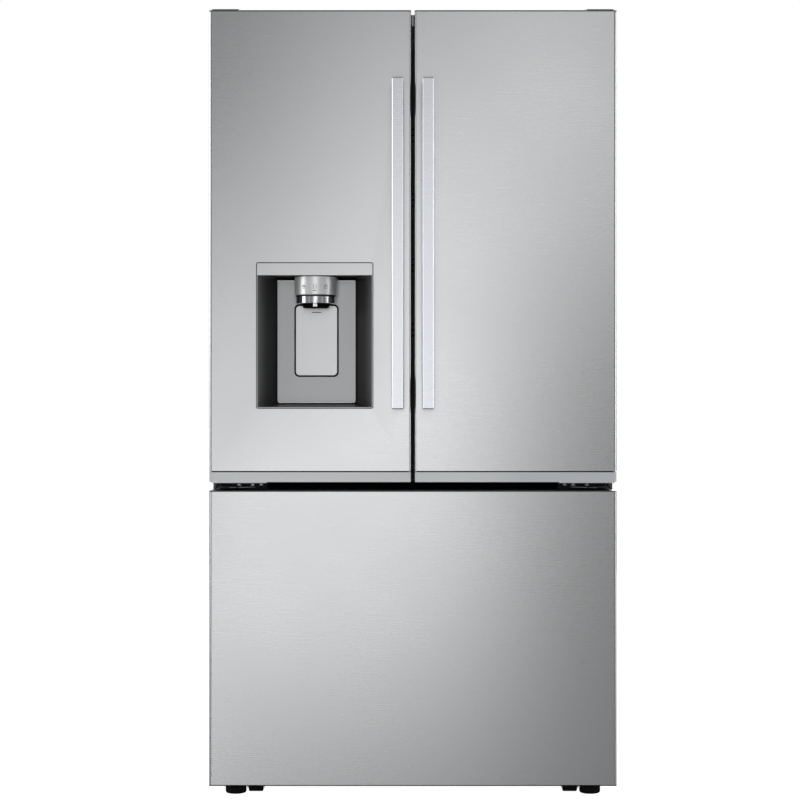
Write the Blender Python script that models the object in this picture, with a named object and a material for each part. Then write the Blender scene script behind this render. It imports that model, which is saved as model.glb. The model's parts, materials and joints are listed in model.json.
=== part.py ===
"""French door refrigerator: two fresh-food doors over a freezer drawer, with a dispenser.

Metres, +Z up, +X to the viewer's right, -Y to the front. The origin lies on the floor
under the middle of the box that holds the whole refrigerator, handles included.
"""

import math

import bmesh
import bpy
from mathutils import Matrix, Vector

# Driving dimensions
WIDTH = 0.908
DEPTH = 0.797
CASE_WIDTH = 0.902
CASE_TOP = 1.752
CASE_BOTTOM = 0.038
DOOR_TOP = 1.766
DOOR_BOTTOM = 0.716
DRAWER_TOP = 0.6962
DRAWER_BOTTOM = 0.040
COVER_TOP = 1.784
COVER_NOSE = 1.770
COVER_CREST_Y = -0.250
DOOR_DEPTH = 0.106
HANDLE_REACH = 0.064
GASKET_DEPTH = 0.008
DOOR_GAP = 0.0078
GAP = 0.0003

# Planes from front to back
HANDLE_FRONT = -DEPTH / 2
FRONT = HANDLE_FRONT + HANDLE_REACH
DOOR_BACK = FRONT + DOOR_DEPTH
CASE_FRONT = DOOR_BACK + GASKET_DEPTH
BACK = DEPTH / 2
PANEL_THICKNESS = 0.0017
CASE_BACK = BACK - PANEL_THICKNESS - GAP

# Sheet and wall thicknesses
SKIN = 0.0015
CASE_SHEET = 0.002
FLANGE = 0.030
LINER = 0.003
BIN_WALL = 0.0025

# Compartments
OPENING_HALF = 0.401
FRIDGE_FLOOR = 0.752
FRIDGE_CEILING = 1.697
FREEZER_FLOOR = 0.095
FREEZER_CEILING = 0.656
LINER_BACK = 0.333
STEP_Y = 0.150
STEP_Z = 0.300
RAIL_BOTTOM = 0.672
RAIL_TOP = 0.736
RAIL_DEPTH = 0.0205
FOAM_BOTTOM = 0.064
MACHINE_FRONT = 0.186
MACHINE_TOP = 0.264

# Hinge axes, mirrored left and right
HINGE_X = 0.434
HINGE_Y = -0.290
PIN_RADIUS = 0.006
PIN_HOLE = 0.0068

# Doors and drawer
OUTER_ROUND = 0.0065
INNER_ROUND = 0.004
CAP_TOP = 0.7387
SKIN_BOTTOM = 0.7407
TOP_CAP = 0.003
DYKE_TOP = -0.187
PANEL_Y = -0.226
LEFT_PANEL_Y = -0.205

# Handles
HANDLE_X = 0.0335
HANDLE_WIDTH = 0.0256
HANDLE_BOTTOM = 0.8785
HANDLE_TOP = 1.6075
HANDLE_BAR = 0.020
HANDLE_POST = 0.070

# Dispenser
DISPENSER_X = -0.2184
DISPENSER_HALF = 0.1305
DISPENSER_BOTTOM = 0.879
DISPENSER_TOP = 1.205
BEZEL_BAR = 0.029
RECESS_BACK = -0.246
RECESS_HALF = 0.090
RECESS_FLOOR = 0.8905
RECESS_CEILING = 1.175
PADDLE_HALF = 0.0473
PADDLE_BOTTOM = 0.954
PADDLE_TOP = 1.1125
HEAD_RADIUS = 0.0475
HEAD_Y = -0.284

# Running gear
LEG_X = 0.405
LEG_Y = -0.200
LEG_RADIUS = 0.0240
ROLLER_X = 0.360
ROLLER_Y = -0.185
REAR_ROLLER_X = 0.330
REAR_ROLLER_Y = 0.300
ROLLER_RADIUS = 0.0185
ROLLER_HALF = 0.0165
CHEEK = 0.0020
CHEEK_GAP = 0.0010

# Shelves and drawers inside
SHELF_FRONT = -0.095
SHELF_BACK = 0.312
UPPER_SHELF_Z = 1.330
CRISPER_SHELF_Z = 1.000
TRAY_FRONT = -0.110
MULLION_X = -0.038
MULLION_Y = -0.212
MULLION_BOTTOM = 0.775
MULLION_TOP = 1.675

COLOURS = {
    "stainless": ((0.62, 0.62, 0.61), 0.32, 1.0),
    "satin": ((0.78, 0.80, 0.84), 0.28, 1.0),
    "case_grey": ((0.30, 0.30, 0.31), 0.55, 0.0),
    "zinc": ((0.55, 0.55, 0.53), 0.45, 1.0),
    "liner_white": ((0.86, 0.87, 0.88), 0.35, 0.0),
    "foam": ((0.85, 0.78, 0.55), 0.90, 0.0),
    "black": ((0.02, 0.02, 0.02), 0.50, 0.0),
    "black_steel": ((0.03, 0.03, 0.03), 0.40, 0.0),
    "dark_grey": ((0.08, 0.08, 0.09), 0.40, 0.0),
    "gloss_grey": ((0.40, 0.42, 0.42), 0.15, 0.0),
    "gasket": ((0.45, 0.46, 0.47), 0.70, 0.0),
    "clear": ((0.80, 0.86, 0.90), 0.10, 0.0),
}


def clear_scene():
    for old in list(bpy.data.objects):
        bpy.data.objects.remove(old, do_unlink=True)


def material(name):
    """The Principled material of that name, made on first use."""
    found = bpy.data.materials.get(name)
    if found:
        return found
    colour, roughness, metallic = COLOURS[name]
    made = bpy.data.materials.new(name)
    made.use_nodes = True
    shader = made.node_tree.nodes["Principled BSDF"]
    shader.inputs["Base Color"].default_value = (*colour, 1.0)
    shader.inputs["Roughness"].default_value = roughness
    shader.inputs["Metallic"].default_value = metallic
    made.diffuse_color = (*colour, 1.0)
    return made


def pivot(name, place):
    """An empty on a joint's axis, to which the moving pieces are parented."""
    empty = bpy.data.objects.new(name, None)
    empty.location = place
    empty.empty_display_size = 0.05
    bpy.context.scene.collection.objects.link(empty)
    return empty


def solid(name, mesh, surface, parent=None, smooth=False):
    """Turns a bmesh in world coordinates into one named object, parented to a pivot."""
    bmesh.ops.recalc_face_normals(mesh, faces=mesh.faces)
    origin = world_place(parent)
    bmesh.ops.translate(mesh, verts=mesh.verts, vec=-origin)
    data = bpy.data.meshes.new(name)
    mesh.to_mesh(data)
    mesh.free()
    data.materials.append(material(surface))
    if smooth:
        data.shade_smooth()
        data.set_sharp_from_angle(angle=math.radians(35))
    obj = bpy.data.objects.new(name, data)
    obj.parent = parent
    bpy.context.scene.collection.objects.link(obj)
    return obj


def world_place(obj):
    place = Vector((0, 0, 0))
    while obj:
        place += obj.location
        obj = obj.parent
    return place


def boolean(obj, mesh, operation="DIFFERENCE"):
    """Cuts the bmesh from the object, or joins it on, with a helper that isn't rendered."""
    count = len(obj.modifiers) + 1
    helper = solid(f"{obj.name}_helper_{count}", mesh, "black", obj.parent)
    helper.hide_render = True
    helper.display_type = "WIRE"
    modifier = obj.modifiers.new(f"{operation.lower()}_{count}", "BOOLEAN")
    modifier.operation = operation
    modifier.solver = "EXACT"
    modifier.object = helper
    return obj


def cut(obj, mesh):
    return boolean(obj, mesh, "DIFFERENCE")


def join(obj, mesh):
    return boolean(obj, mesh, "UNION")


def loft(loops, ring=False):
    """A closed skin through loops with equal point counts, capped at both ends or joined in a ring."""
    mesh = bmesh.new()
    rows = [[mesh.verts.new(point) for point in loop] for loop in loops]
    pairs = list(zip(rows, rows[1:]))
    if ring:
        pairs.append((rows[-1], rows[0]))
    count = len(rows[0])
    for first, second in pairs:
        for i in range(count):
            j = (i + 1) % count
            mesh.faces.new((first[i], first[j], second[j], second[i]))
    if not ring:
        mesh.faces.new(rows[0])
        mesh.faces.new(rows[-1])
    return mesh


def boxes(*corner_pairs):
    """One bmesh holding a box for each (low corner, high corner)."""
    mesh = bmesh.new()
    for low, high in corner_pairs:
        low, high = Vector(low), Vector(high)
        middle = Matrix.Translation((low + high) / 2)
        bmesh.ops.create_cube(mesh, size=1, matrix=middle @ Matrix.Diagonal((*(high - low), 1)))
    return mesh


def span(side, near, far):
    """The X range from near to far on one side: -1 is left and +1 is right."""
    return (near, far) if side > 0 else (-far, -near)


def side_box(side, x_range, y_range, z_range):
    x0, x1 = span(side, *x_range)
    return boxes(((x0, y_range[0], z_range[0]), (x1, y_range[1], z_range[1])))


def arc(centre, radius, start, end, steps):
    """Points on an arc in a plane, angles in degrees."""
    points = []
    for i in range(steps + 1):
        angle = math.radians(start + (end - start) * i / steps)
        points.append((centre[0] + radius * math.cos(angle), centre[1] + radius * math.sin(angle)))
    return points


def rectangle(a0, a1, b0, b1, radius=0.0, steps=3):
    """The outline of a rectangle, with round corners when radius is over zero."""
    if radius <= 0:
        return [(a0, b0), (a1, b0), (a1, b1), (a0, b1)]
    corners = ((a1, b0, -90), (a1, b1, 0), (a0, b1, 90), (a0, b0, 180))
    points = []
    for a, b, start in corners:
        centre = (a - math.copysign(radius, a - (a0 + a1) / 2), b - math.copysign(radius, b - (b0 + b1) / 2))
        points += arc(centre, radius, start, start + 90, steps)
    return points


def upright(outline, y):
    """An outline in X and Z, standing at depth y."""
    return [(a, y, b) for a, b in outline]


def flat(outline, z):
    """An outline in X and Y, lying at height z."""
    return [(a, b, z) for a, b in outline]


def prism_x(outline, x0, x1):
    """An outline in Y and Z, extruded along X."""
    return loft([[(x0, a, b) for a, b in outline], [(x1, a, b) for a, b in outline]])


def prism_z(outline, z0, z1):
    return loft([flat(outline, z0), flat(outline, z1)])


def turned(profile, centre, axis="Z", steps=24):
    """A solid turned from (radius, distance along the axis) pairs."""
    loops = []
    for radius, along in profile:
        circle = arc((0, 0), radius, 0, 360 - 360 / steps, steps - 1)
        if axis == "Z":
            loop = [(centre[0] + a, centre[1] + b, centre[2] + along) for a, b in circle]
        elif axis == "Y":
            loop = [(centre[0] + a, centre[1] + along, centre[2] + b) for a, b in circle]
        else:
            loop = [(centre[0] + along, centre[1] + a, centre[2] + b) for a, b in circle]
        loops.append(loop)
    return loft(loops)


def rod(radius, start, length, axis="Z", steps=16):
    return turned([(radius, 0), (radius, length)], start, axis, steps)


# Cabinet


def cabinet_wrapper():
    half = CASE_WIDTH / 2
    body = boxes(((-half, CASE_FRONT, CASE_BOTTOM), (half, CASE_BACK, CASE_TOP)))
    wrapper = solid("cabinet_wrapper", body, "case_grey")
    inner = half - CASE_SHEET
    beyond = 0.05
    cut(wrapper, boxes((
        (-inner, CASE_FRONT + CASE_SHEET, CASE_BOTTOM - beyond),
        (inner, CASE_BACK + beyond, CASE_TOP - CASE_SHEET),
    )))
    mouth = half - FLANGE
    cut(wrapper, boxes((
        (-mouth, CASE_FRONT - beyond, CASE_BOTTOM - beyond),
        (mouth, CASE_FRONT + beyond, CASE_TOP - FLANGE),
    )))


def freezer_profile(grow, front):
    """The freezer's side outline in Y and Z, stepped over the machine compartment."""
    return [
        (front, FREEZER_FLOOR - grow),
        (STEP_Y + grow, FREEZER_FLOOR - grow),
        (STEP_Y + grow, STEP_Z - grow),
        (LINER_BACK + grow, STEP_Z - grow),
        (LINER_BACK + grow, FREEZER_CEILING + grow),
        (front, FREEZER_CEILING + grow),
    ]


def cabinet_foam():
    half = CASE_WIDTH / 2 - CASE_SHEET - GAP
    front = CASE_FRONT + LINER + GAP
    back = CASE_BACK - GAP
    top = CASE_TOP - CASE_SHEET - GAP
    foam = solid("cabinet_foam", boxes(((-half, front, FOAM_BOTTOM), (half, back, top))), "foam")
    grow = LINER + GAP
    ahead = front - 0.05
    width = OPENING_HALF + grow
    cut(foam, boxes((
        (-width, ahead, FRIDGE_FLOOR - grow),
        (width, LINER_BACK + grow, FRIDGE_CEILING + grow),
    )))
    cut(foam, prism_x(freezer_profile(grow, ahead), -width, width))
    cut(foam, boxes(((-half - 0.01, MACHINE_FRONT, 0), (half + 0.01, BACK + 0.05, MACHINE_TOP))))
    cut(foam, boxes((
        (-half - 0.01, ahead, RAIL_BOTTOM - GAP),
        (half + 0.01, CASE_FRONT + RAIL_DEPTH + GAP, RAIL_TOP + GAP),
    )))


def fridge_liner():
    flange = CASE_WIDTH / 2 - FLANGE - GAP
    flange_low, flange_high = RAIL_TOP + GAP, CASE_TOP - FLANGE - GAP
    rounding = 0.016
    low, high = FRIDGE_FLOOR, FRIDGE_CEILING
    mouth = rectangle(-OPENING_HALF, OPENING_HALF, low, high, rounding)
    shell = rectangle(
        -OPENING_HALF - LINER, OPENING_HALF + LINER, low - LINER, high + LINER, rounding + LINER
    )
    rim = rectangle(-flange, flange, flange_low, flange_high, 0.004)
    solid("fridge_liner", loft([
        upright(mouth, LINER_BACK),
        upright(mouth, CASE_FRONT),
        upright(rim, CASE_FRONT),
        upright(rim, CASE_FRONT + LINER),
        upright(shell, CASE_FRONT + LINER),
        upright(shell, LINER_BACK + LINER),
    ]), "liner_white")


def freezer_liner():
    width = OPENING_HALF + LINER
    shell = prism_x(freezer_profile(LINER, CASE_FRONT + 0.001), -width, width)
    liner = solid("freezer_liner", shell, "liner_white")
    flange = CASE_WIDTH / 2 - FLANGE - GAP
    join(liner, boxes((
        (-flange, CASE_FRONT, FREEZER_FLOOR - LINER),
        (flange, CASE_FRONT + LINER, RAIL_BOTTOM - GAP),
    )))
    cut(liner, prism_x(freezer_profile(0, CASE_FRONT - 0.05), -OPENING_HALF, OPENING_HALF))


def back_panel():
    half = CASE_WIDTH / 2
    low = (-half, BACK - PANEL_THICKNESS, MACHINE_TOP - 0.002)
    solid("back_panel", boxes((low, (half, BACK, CASE_TOP))), "zinc")


def machine_cover():
    half = CASE_WIDTH / 2 - 0.003
    front = BACK - PANEL_THICKNESS
    top = MACHINE_TOP - 0.005
    cover = solid("machine_cover", boxes(((-half, front, 0.042), (half, BACK, top))), "black")
    slot_width, slot_pitch, slots = 0.008, 0.020, 12
    holes = []
    for middle in (-0.16, 0.20):
        for i in range(slots):
            x = middle + (i - (slots - 1) / 2) * slot_pitch
            holes.append(((x - slot_width / 2, front - 0.01, 0.08), (x + slot_width / 2, BACK + 0.01, 0.21)))
    cut(cover, boxes(*holes))
    cut(cover, boxes(((-0.4165, front - 0.01, 0.1835), (-0.3835, BACK + 0.01, 0.2165))))


def power_inlet():
    x, z, half = -0.400, 0.200, 0.016
    outer = rectangle(x - half, x + half, z - half, z + half, 0.004)
    bore = arc((x, z), 0.006, -135, 225 - 360 / 16, 15)
    back, front = BACK, BACK - 0.020
    solid("power_inlet", loft([
        upright(outer, front), upright(outer, back), upright(bore, back), upright(bore, front)
    ], ring=True), "black")


def base_frame():
    half = CASE_WIDTH / 2 - CASE_SHEET - GAP
    plate_top = CASE_BOTTOM + 0.0022
    plate = boxes(((-half, CASE_FRONT, CASE_BOTTOM), (half, CASE_BACK - GAP, plate_top)))
    frame = solid("base_frame", plate, "zinc")
    mouth = CASE_WIDTH / 2 - FLANGE - GAP
    upstand_top = FREEZER_FLOOR - LINER - GAP
    join(frame, boxes(((-mouth, CASE_FRONT, CASE_BOTTOM), (mouth, CASE_FRONT + CASE_SHEET, upstand_top))))
    cut(frame, boxes(
        ((-half - 0.01, CASE_FRONT - 0.01, CASE_BOTTOM - 0.01), (-mouth, CASE_FRONT + 0.004, plate_top + 0.01)),
        ((mouth, CASE_FRONT - 0.01, CASE_BOTTOM - 0.01), (half + 0.01, CASE_FRONT + 0.004, plate_top + 0.01)),
    ))
    places = [(side * ROLLER_X, ROLLER_Y) for side in (-1, 1)]
    places += [(side * REAR_ROLLER_X, REAR_ROLLER_Y) for side in (-1, 1)]
    for x, y in places:
        join(frame, roller_cheeks(x, y))
        axle_hole = rod(0.0046, (x - 0.03, y, ROLLER_RADIUS), 0.06, "X")
        cut(frame, axle_hole)
    for side in (-1, 1):
        join(frame, rod(0.012, (side * LEG_X, LEG_Y, CASE_BOTTOM - 0.010), 0.011, steps=20))
        cut(frame, rod(0.0068, (side * LEG_X, LEG_Y, CASE_BOTTOM - 0.03), 0.06, steps=20))
    join(frame, boxes(((0.048, 0.270, CASE_BOTTOM + 0.001), (0.078, 0.310, 0.165))))


def roller_cheeks(x, y):
    """Two plates that hang from the base, one on each side of a roller."""
    inner = ROLLER_HALF + CHEEK_GAP
    pairs = []
    for side in (-1, 1):
        low_x, high_x = sorted((x + side * inner, x + side * (inner + CHEEK)))
        pairs.append(((low_x, y - 0.016, 0.010), (high_x, y + 0.016, CASE_BOTTOM + 0.001)))
    return boxes(*pairs)


def divider_rail():
    half = CASE_WIDTH / 2 - FLANGE - GAP
    solid("divider_rail", boxes(
        ((-half, CASE_FRONT, RAIL_BOTTOM), (half, CASE_FRONT + RAIL_DEPTH, RAIL_TOP))
    ), "black")


def levelling_leg(side):
    name = "left" if side < 0 else "right"
    place = (side * LEG_X, LEG_Y, 0)
    axis = pivot(f"{name}_leg_axis", place)
    profile = [
        (LEG_RADIUS - 0.0040, 0), (LEG_RADIUS - 0.0012, 0.0012), (LEG_RADIUS, 0.0045), (LEG_RADIUS, 0.015),
        (0.010, 0.017), (0.006, 0.019), (0.006, 0.060),
    ]
    solid(f"{name}_levelling_leg", turned(profile, place), "black", axis, smooth=True)


def wheel_profile(middle):
    """Half of a roller with its stub axle, as (radius, distance) pairs about its middle."""
    reach = ROLLER_HALF + CHEEK_GAP + CHEEK + 0.001
    return [
        (0.004, middle - reach), (0.004, middle - ROLLER_HALF), (ROLLER_RADIUS - 0.002, middle - ROLLER_HALF),
        (ROLLER_RADIUS, middle - ROLLER_HALF + 0.002), (ROLLER_RADIUS, middle + ROLLER_HALF - 0.002),
        (ROLLER_RADIUS - 0.002, middle + ROLLER_HALF), (0.004, middle + ROLLER_HALF), (0.004, middle + reach),
    ]


def front_roller(side):
    name = "left" if side < 0 else "right"
    place = (side * ROLLER_X, ROLLER_Y, ROLLER_RADIUS)
    axis = pivot(f"{name}_roller_axis", place)
    solid(f"{name}_front_roller", turned(wheel_profile(0), place, "X"), "black", axis, smooth=True)


def rear_roller_axle():
    place = (0, REAR_ROLLER_Y, ROLLER_RADIUS)
    axis = pivot("rear_roller_axis", place)
    profile = wheel_profile(-REAR_ROLLER_X)[:-1] + wheel_profile(REAR_ROLLER_X)[1:]
    solid("rear_roller_axle", turned(profile, place, "X"), "black", axis, smooth=True)


def compressor():
    x, y, base = -0.20, 0.285, CASE_BOTTOM + 0.0022 + GAP
    shell = [
        (0.050, 0.012), (0.070, 0.020), (0.078, 0.045), (0.080, 0.090), (0.072, 0.125), (0.050, 0.145), (0.020, 0.152),
    ]
    can = solid("compressor", turned(shell, (x, y, base)), "black", smooth=True)
    join(can, boxes(((x - 0.085, y - 0.060, base), (x + 0.085, y + 0.060, base + 0.018))))


def condenser_fan():
    place = (0.030, 0.290, 0.130)
    axis = pivot("fan_axis", place)
    hub = turned([(0.012, -0.016), (0.018, -0.012), (0.018, 0.0175)], place, "X", 20)
    fan = solid("condenser_fan", hub, "black", axis, smooth=True)
    blades, pitch, root, tip, chord = 5, math.radians(32), 0.014, 0.060, 0.016
    for i in range(blades):
        turn = Matrix.Rotation(2 * math.pi * i / blades, 4, "X")
        loops = []
        for radius, half_chord in ((root, chord * 0.6), (tip, chord)):
            loop = []
            for along, thick in ((-1, -0.0009), (1, -0.0009), (1, 0.0009), (-1, 0.0009)):
                x = along * half_chord * math.sin(pitch) + thick * math.cos(pitch)
                y = along * half_chord * math.cos(pitch) - thick * math.sin(pitch)
                loop.append(Vector(place) + turn @ Vector((x, y, radius)))
            loops.append(loop)
        join(fan, loft(loops))


# Hinges


def top_hinge(side):
    name = "left" if side < 0 else "right"
    over_door, over_case = DOOR_TOP + 0.0015, CASE_TOP + GAP
    arm, plate = 0.0025, 0.004
    front, web, rear = HINGE_Y - 0.012, CASE_FRONT + 0.0025, -0.095
    outline = [
        (front, over_door), (web, over_door), (web, over_case), (rear, over_case),
        (rear, over_case + plate), (web + plate, over_case + plate), (web + plate, over_door + arm),
        (front, over_door + arm),
    ]
    x0, x1 = span(side, 0.400, 0.4425)
    hinge = solid(f"{name}_top_hinge", prism_x(outline, x0, x1), "zinc")
    join(hinge, rod(PIN_RADIUS, (side * HINGE_X, HINGE_Y, DOOR_TOP - 0.026), 0.028))


def cover_section(x, top, inset, floor_drop=0.0):
    """The hinge cover's outline in Y and Z at one X, moved inwards by inset."""
    front, rear = -0.325 + inset, -0.084 - inset
    over_door, over_case = DOOR_TOP + 0.0008 - floor_drop, CASE_TOP + GAP - floor_drop
    step = CASE_FRONT + 0.001 + inset
    nose = COVER_NOSE - inset
    top -= inset
    return [
        (x, front, over_door), (x, step, over_door), (x, step, over_case), (x, rear, over_case),
        (x, rear, top - 0.010), (x, rear - 0.030, top), (x, COVER_CREST_Y, top), (x, front, nose),
    ]


def hinge_cover(side):
    name = "left" if side < 0 else "right"
    wall = 0.0018
    sections = ((0.388, COVER_TOP - 0.002), (0.390, COVER_TOP), (0.428, COVER_TOP), (0.436, 1.7780), (0.4475, 1.7775))
    outer = loft([cover_section(side * x, top, 0) for x, top in sections])
    cover = solid(f"{name}_hinge_cover", outer, "dark_grey")
    inner_sections = ((0.390, COVER_TOP), (0.428, COVER_TOP), (0.4350, 1.7780), (0.4455, 1.7775))
    cut(cover, loft([cover_section(side * x, top, wall, 0.03) for x, top in inner_sections]))


def middle_hinge(side):
    name = "left" if side < 0 else "right"
    arm_low, arm_high = 0.7015, 0.7055
    back = CASE_FRONT - GAP
    plate = side_box(side, (0.330, 0.440), (back - 0.003, back), (0.687, 0.7185))
    hinge = solid(f"{name}_middle_hinge", plate, "black_steel")
    outline = [
        (0.330, back - 0.001), (0.330, -0.252), (0.350, -0.262), (0.405, -0.296), (0.420, -0.304),
        (0.436, -0.304), (0.446, -0.294), (0.446, -0.240), (0.440, back - 0.001),
    ]
    join(hinge, prism_z([(side * x, y) for x, y in outline], arm_low, arm_high))
    join(hinge, rod(PIN_RADIUS, (side * HINGE_X, HINGE_Y, arm_low + 0.001), 0.030))


# Doors


def front_outline(x0, x1, back, inset, left_round, right_round, steps=5):
    """A door's plan: straight back, round front edges, moved inwards by inset on its front and sides."""
    front = FRONT + inset
    left, right = x0 + inset, x1 - inset
    r0, r1 = left_round - inset, right_round - inset
    points = [(left, back)]
    points += arc((left + r0, front + r0), r0, 180, 270, steps)
    points += arc((right - r1, front + r1), r1, 270, 360, steps)
    return points + [(right, back)]


def door_rounds(side):
    return (OUTER_ROUND, INNER_ROUND) if side < 0 else (INNER_ROUND, OUTER_ROUND)


def wrapped_skin(name, x_range, rounds, z_range, parent):
    """A sheet folded round the front and the two sides."""
    back = DOOR_BACK - 0.0005
    outer = front_outline(*x_range, back, 0, *rounds)
    inner = front_outline(*x_range, back, SKIN, *rounds)
    return solid(name, prism_z(outer + inner[::-1], *z_range), "stainless", parent)


def door_skin(side, parent):
    name = "left" if side < 0 else "right"
    x_range = span(side, DOOR_GAP / 2, WIDTH / 2)
    z_range = (SKIN_BOTTOM, DOOR_TOP - TOP_CAP)
    skin = wrapped_skin(f"{name}_door_skin", x_range, door_rounds(side), z_range, parent)
    if side < 0:
        hole = dispenser_rectangle(0, DISPENSER_BOTTOM, DISPENSER_TOP)
        cut(skin, loft([upright(hole, FRONT - 0.01), upright(hole, FRONT + 0.01)]))
    return skin


def dispenser_rectangle(inset, bottom, top, radius=0.004):
    low, high = DISPENSER_X - DISPENSER_HALF + inset, DISPENSER_X + DISPENSER_HALF - inset
    return rectangle(low, high, bottom, top, radius, 2)


def liner_loops(x_range, z_range, dyke_x, dyke_z, panel):
    """Loops of an insulated inner panel: block, raised dyke round its back, sunk panel inside."""
    inset, draft, dyke = 0.005, 0.004, 0.030
    front = FRONT + SKIN + GAP
    left, right = x_range[0] + SKIN + GAP, x_range[1] - SKIN - GAP
    return [
        upright(rectangle(left + inset, right - inset, *z_range), front),
        upright(rectangle(left, right, *z_range), front + inset),
        upright(rectangle(left, right, *z_range), DOOR_BACK),
        upright(rectangle(*dyke_x, *dyke_z), DOOR_BACK),
        upright(shrunk(dyke_x, dyke_z, draft), DYKE_TOP),
        upright(shrunk(dyke_x, dyke_z, dyke), DYKE_TOP),
        upright(shrunk(dyke_x, dyke_z, dyke + draft), panel),
    ]


def shrunk(x_range, z_range, by):
    return rectangle(x_range[0] + by, x_range[1] - by, z_range[0] + by, z_range[1] - by)


def door_liner(side, parent):
    name = "left" if side < 0 else "right"
    near = 0.058 if side < 0 else 0.046
    panel = LEFT_PANEL_Y if side < 0 else PANEL_Y
    x_range = span(side, DOOR_GAP / 2, WIDTH / 2)
    z_range = (SKIN_BOTTOM + GAP, DOOR_TOP - TOP_CAP)
    loops = liner_loops(x_range, z_range, span(side, near, 0.388), (0.772, 1.685), panel)
    liner = solid(f"{name}_door_liner", loft(loops), "liner_white", parent)
    cut(liner, rod(PIN_HOLE, (side * HINGE_X, HINGE_Y, DOOR_TOP - 0.030), 0.05))
    if side < 0:
        cut(liner, recess_skin(GAP))
        for low in (MULLION_BOTTOM - 0.011, MULLION_TOP + 0.003):
            join(liner, boxes(((-0.0435, DOOR_BACK - 0.002, low), (-0.0325, -0.2065, low + 0.008))))
            cut(liner, rod(0.0031, (MULLION_X, MULLION_Y, low - 0.002), 0.012, steps=12))


def top_cap(side, parent):
    name = "left" if side < 0 else "right"
    x_range = span(side, DOOR_GAP / 2, WIDTH / 2)
    outline = front_outline(*x_range, DOOR_BACK, 0, *door_rounds(side))
    low = DOOR_TOP - TOP_CAP + GAP
    cap = solid(f"{name}_door_top_cap", prism_z(outline, low, DOOR_TOP), "dark_grey", parent)
    cut(cap, rod(PIN_HOLE, (side * HINGE_X, HINGE_Y, DOOR_TOP - 0.01), 0.02))


def bottom_cap(side, parent):
    name = "left" if side < 0 else "right"
    x_range = span(side, DOOR_GAP / 2, WIDTH / 2)
    back = DOOR_BACK - 0.0005
    outer = front_outline(*x_range, back, 0.0004, *door_rounds(side))
    tongue = front_outline(*x_range, back - 0.001, 0.0019, *door_rounds(side))
    cap = solid(f"{name}_door_bottom_cap", loft([
        flat(outer, DOOR_BOTTOM), flat(outer, CAP_TOP), flat(tongue, CAP_TOP), flat(tongue, SKIN_BOTTOM)
    ]), "gloss_grey", parent)
    foot = (FRONT + 0.004, DOOR_BACK - 0.004)
    join(cap, side_box(side, (0.326, 0.449), foot, (DOOR_BOTTOM - 0.0022, DOOR_BOTTOM + 0.001)))
    cut(cap, rod(PIN_HOLE, (side * HINGE_X, HINGE_Y, DOOR_BOTTOM - 0.01), 0.029))


def gasket(name, x_range, z_range, parent):
    wide = 0.018
    outer = rectangle(*x_range, *z_range)
    inner = shrunk(x_range, z_range, wide)
    front, back = DOOR_BACK + GAP, CASE_FRONT - GAP
    solid(name, loft([
        upright(outer, front), upright(outer, back), upright(inner, back), upright(inner, front)
    ], ring=True), "gasket", parent)


def handle(side, parent):
    """A flat bar with a deep post at each end, drawn in Y and Z and extruded along X."""
    name = "left" if side < 0 else "right"
    face = FRONT - GAP
    bar = HANDLE_FRONT + HANDLE_BAR
    low, high, post, fillet = HANDLE_BOTTOM, HANDLE_TOP, HANDLE_POST, 0.012
    outline = [(face, low), (face, low + post)]
    outline += arc((bar + fillet, low + post + fillet), fillet, 270, 180, 4)
    outline += arc((bar + fillet, high - post - fillet), fillet, 180, 90, 4)
    outline += [(face, high - post), (face, high), (HANDLE_FRONT, high), (HANDLE_FRONT, low)]
    middle = side * HANDLE_X
    half = HANDLE_WIDTH / 2
    bar_solid = solid(f"{name}_handle", prism_x(outline, middle - half, middle + half), "satin", parent)
    bevel = bar_solid.modifiers.new("edges", "BEVEL")
    bevel.width = 0.0022
    bevel.segments = 2
    bevel.limit_method = "ANGLE"
    bevel.angle_limit = math.radians(50)


# Dispenser


def recess_loops(grow):
    """The outside of the recess from its mouth to the bottom of the paddle's pocket."""
    x = DISPENSER_X
    mouth = rectangle(
        x - DISPENSER_HALF + 0.003 - grow, x + DISPENSER_HALF - 0.003 + grow,
        DISPENSER_BOTTOM + 0.003 - grow, DISPENSER_TOP - BEZEL_BAR + 0.004 + grow, 0.004, 2,
    )
    back = rectangle(
        x - RECESS_HALF - grow, x + RECESS_HALF + grow, RECESS_FLOOR - grow, RECESS_CEILING + grow, 0.006, 2
    )
    pocket = rectangle(
        x - PADDLE_HALF - 0.006 - grow, x + PADDLE_HALF + 0.006 + grow,
        PADDLE_BOTTOM - 0.008 - grow, PADDLE_TOP + 0.004 + grow, 0.010, 2,
    )
    return mouth, back, pocket


def recess_skin(grow):
    """A solid of the recess's outside, for the hole that it sits in."""
    wall = 0.0018 + grow
    mouth, back, pocket = recess_loops(wall)
    wide = dispenser_rectangle(-grow, DISPENSER_BOTTOM - grow, DISPENSER_TOP + grow)
    rim_back = FRONT + 0.012
    return loft([
        upright(wide, FRONT - 0.01),
        upright(wide, rim_back + grow),
        upright(mouth, rim_back + grow),
        upright(back, RECESS_BACK + wall),
        upright(pocket, RECESS_BACK + wall),
        upright(pocket, RECESS_BACK + 0.032 + grow),
    ])


def dispenser_recess(parent):
    wall = 0.0018
    mouth, back, pocket = recess_loops(0)
    outer_mouth, outer_back, outer_pocket = recess_loops(wall)
    lip = FRONT + 0.0045
    deep = RECESS_BACK + 0.030
    solid("dispenser_recess", loft([
        upright(pocket, deep),
        upright(pocket, RECESS_BACK),
        upright(back, RECESS_BACK),
        upright(mouth, lip),
        upright(outer_mouth, lip),
        upright(outer_back, RECESS_BACK + wall),
        upright(outer_pocket, RECESS_BACK + wall),
        upright(outer_pocket, deep + wall),
    ]), "dark_grey", parent)


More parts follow.
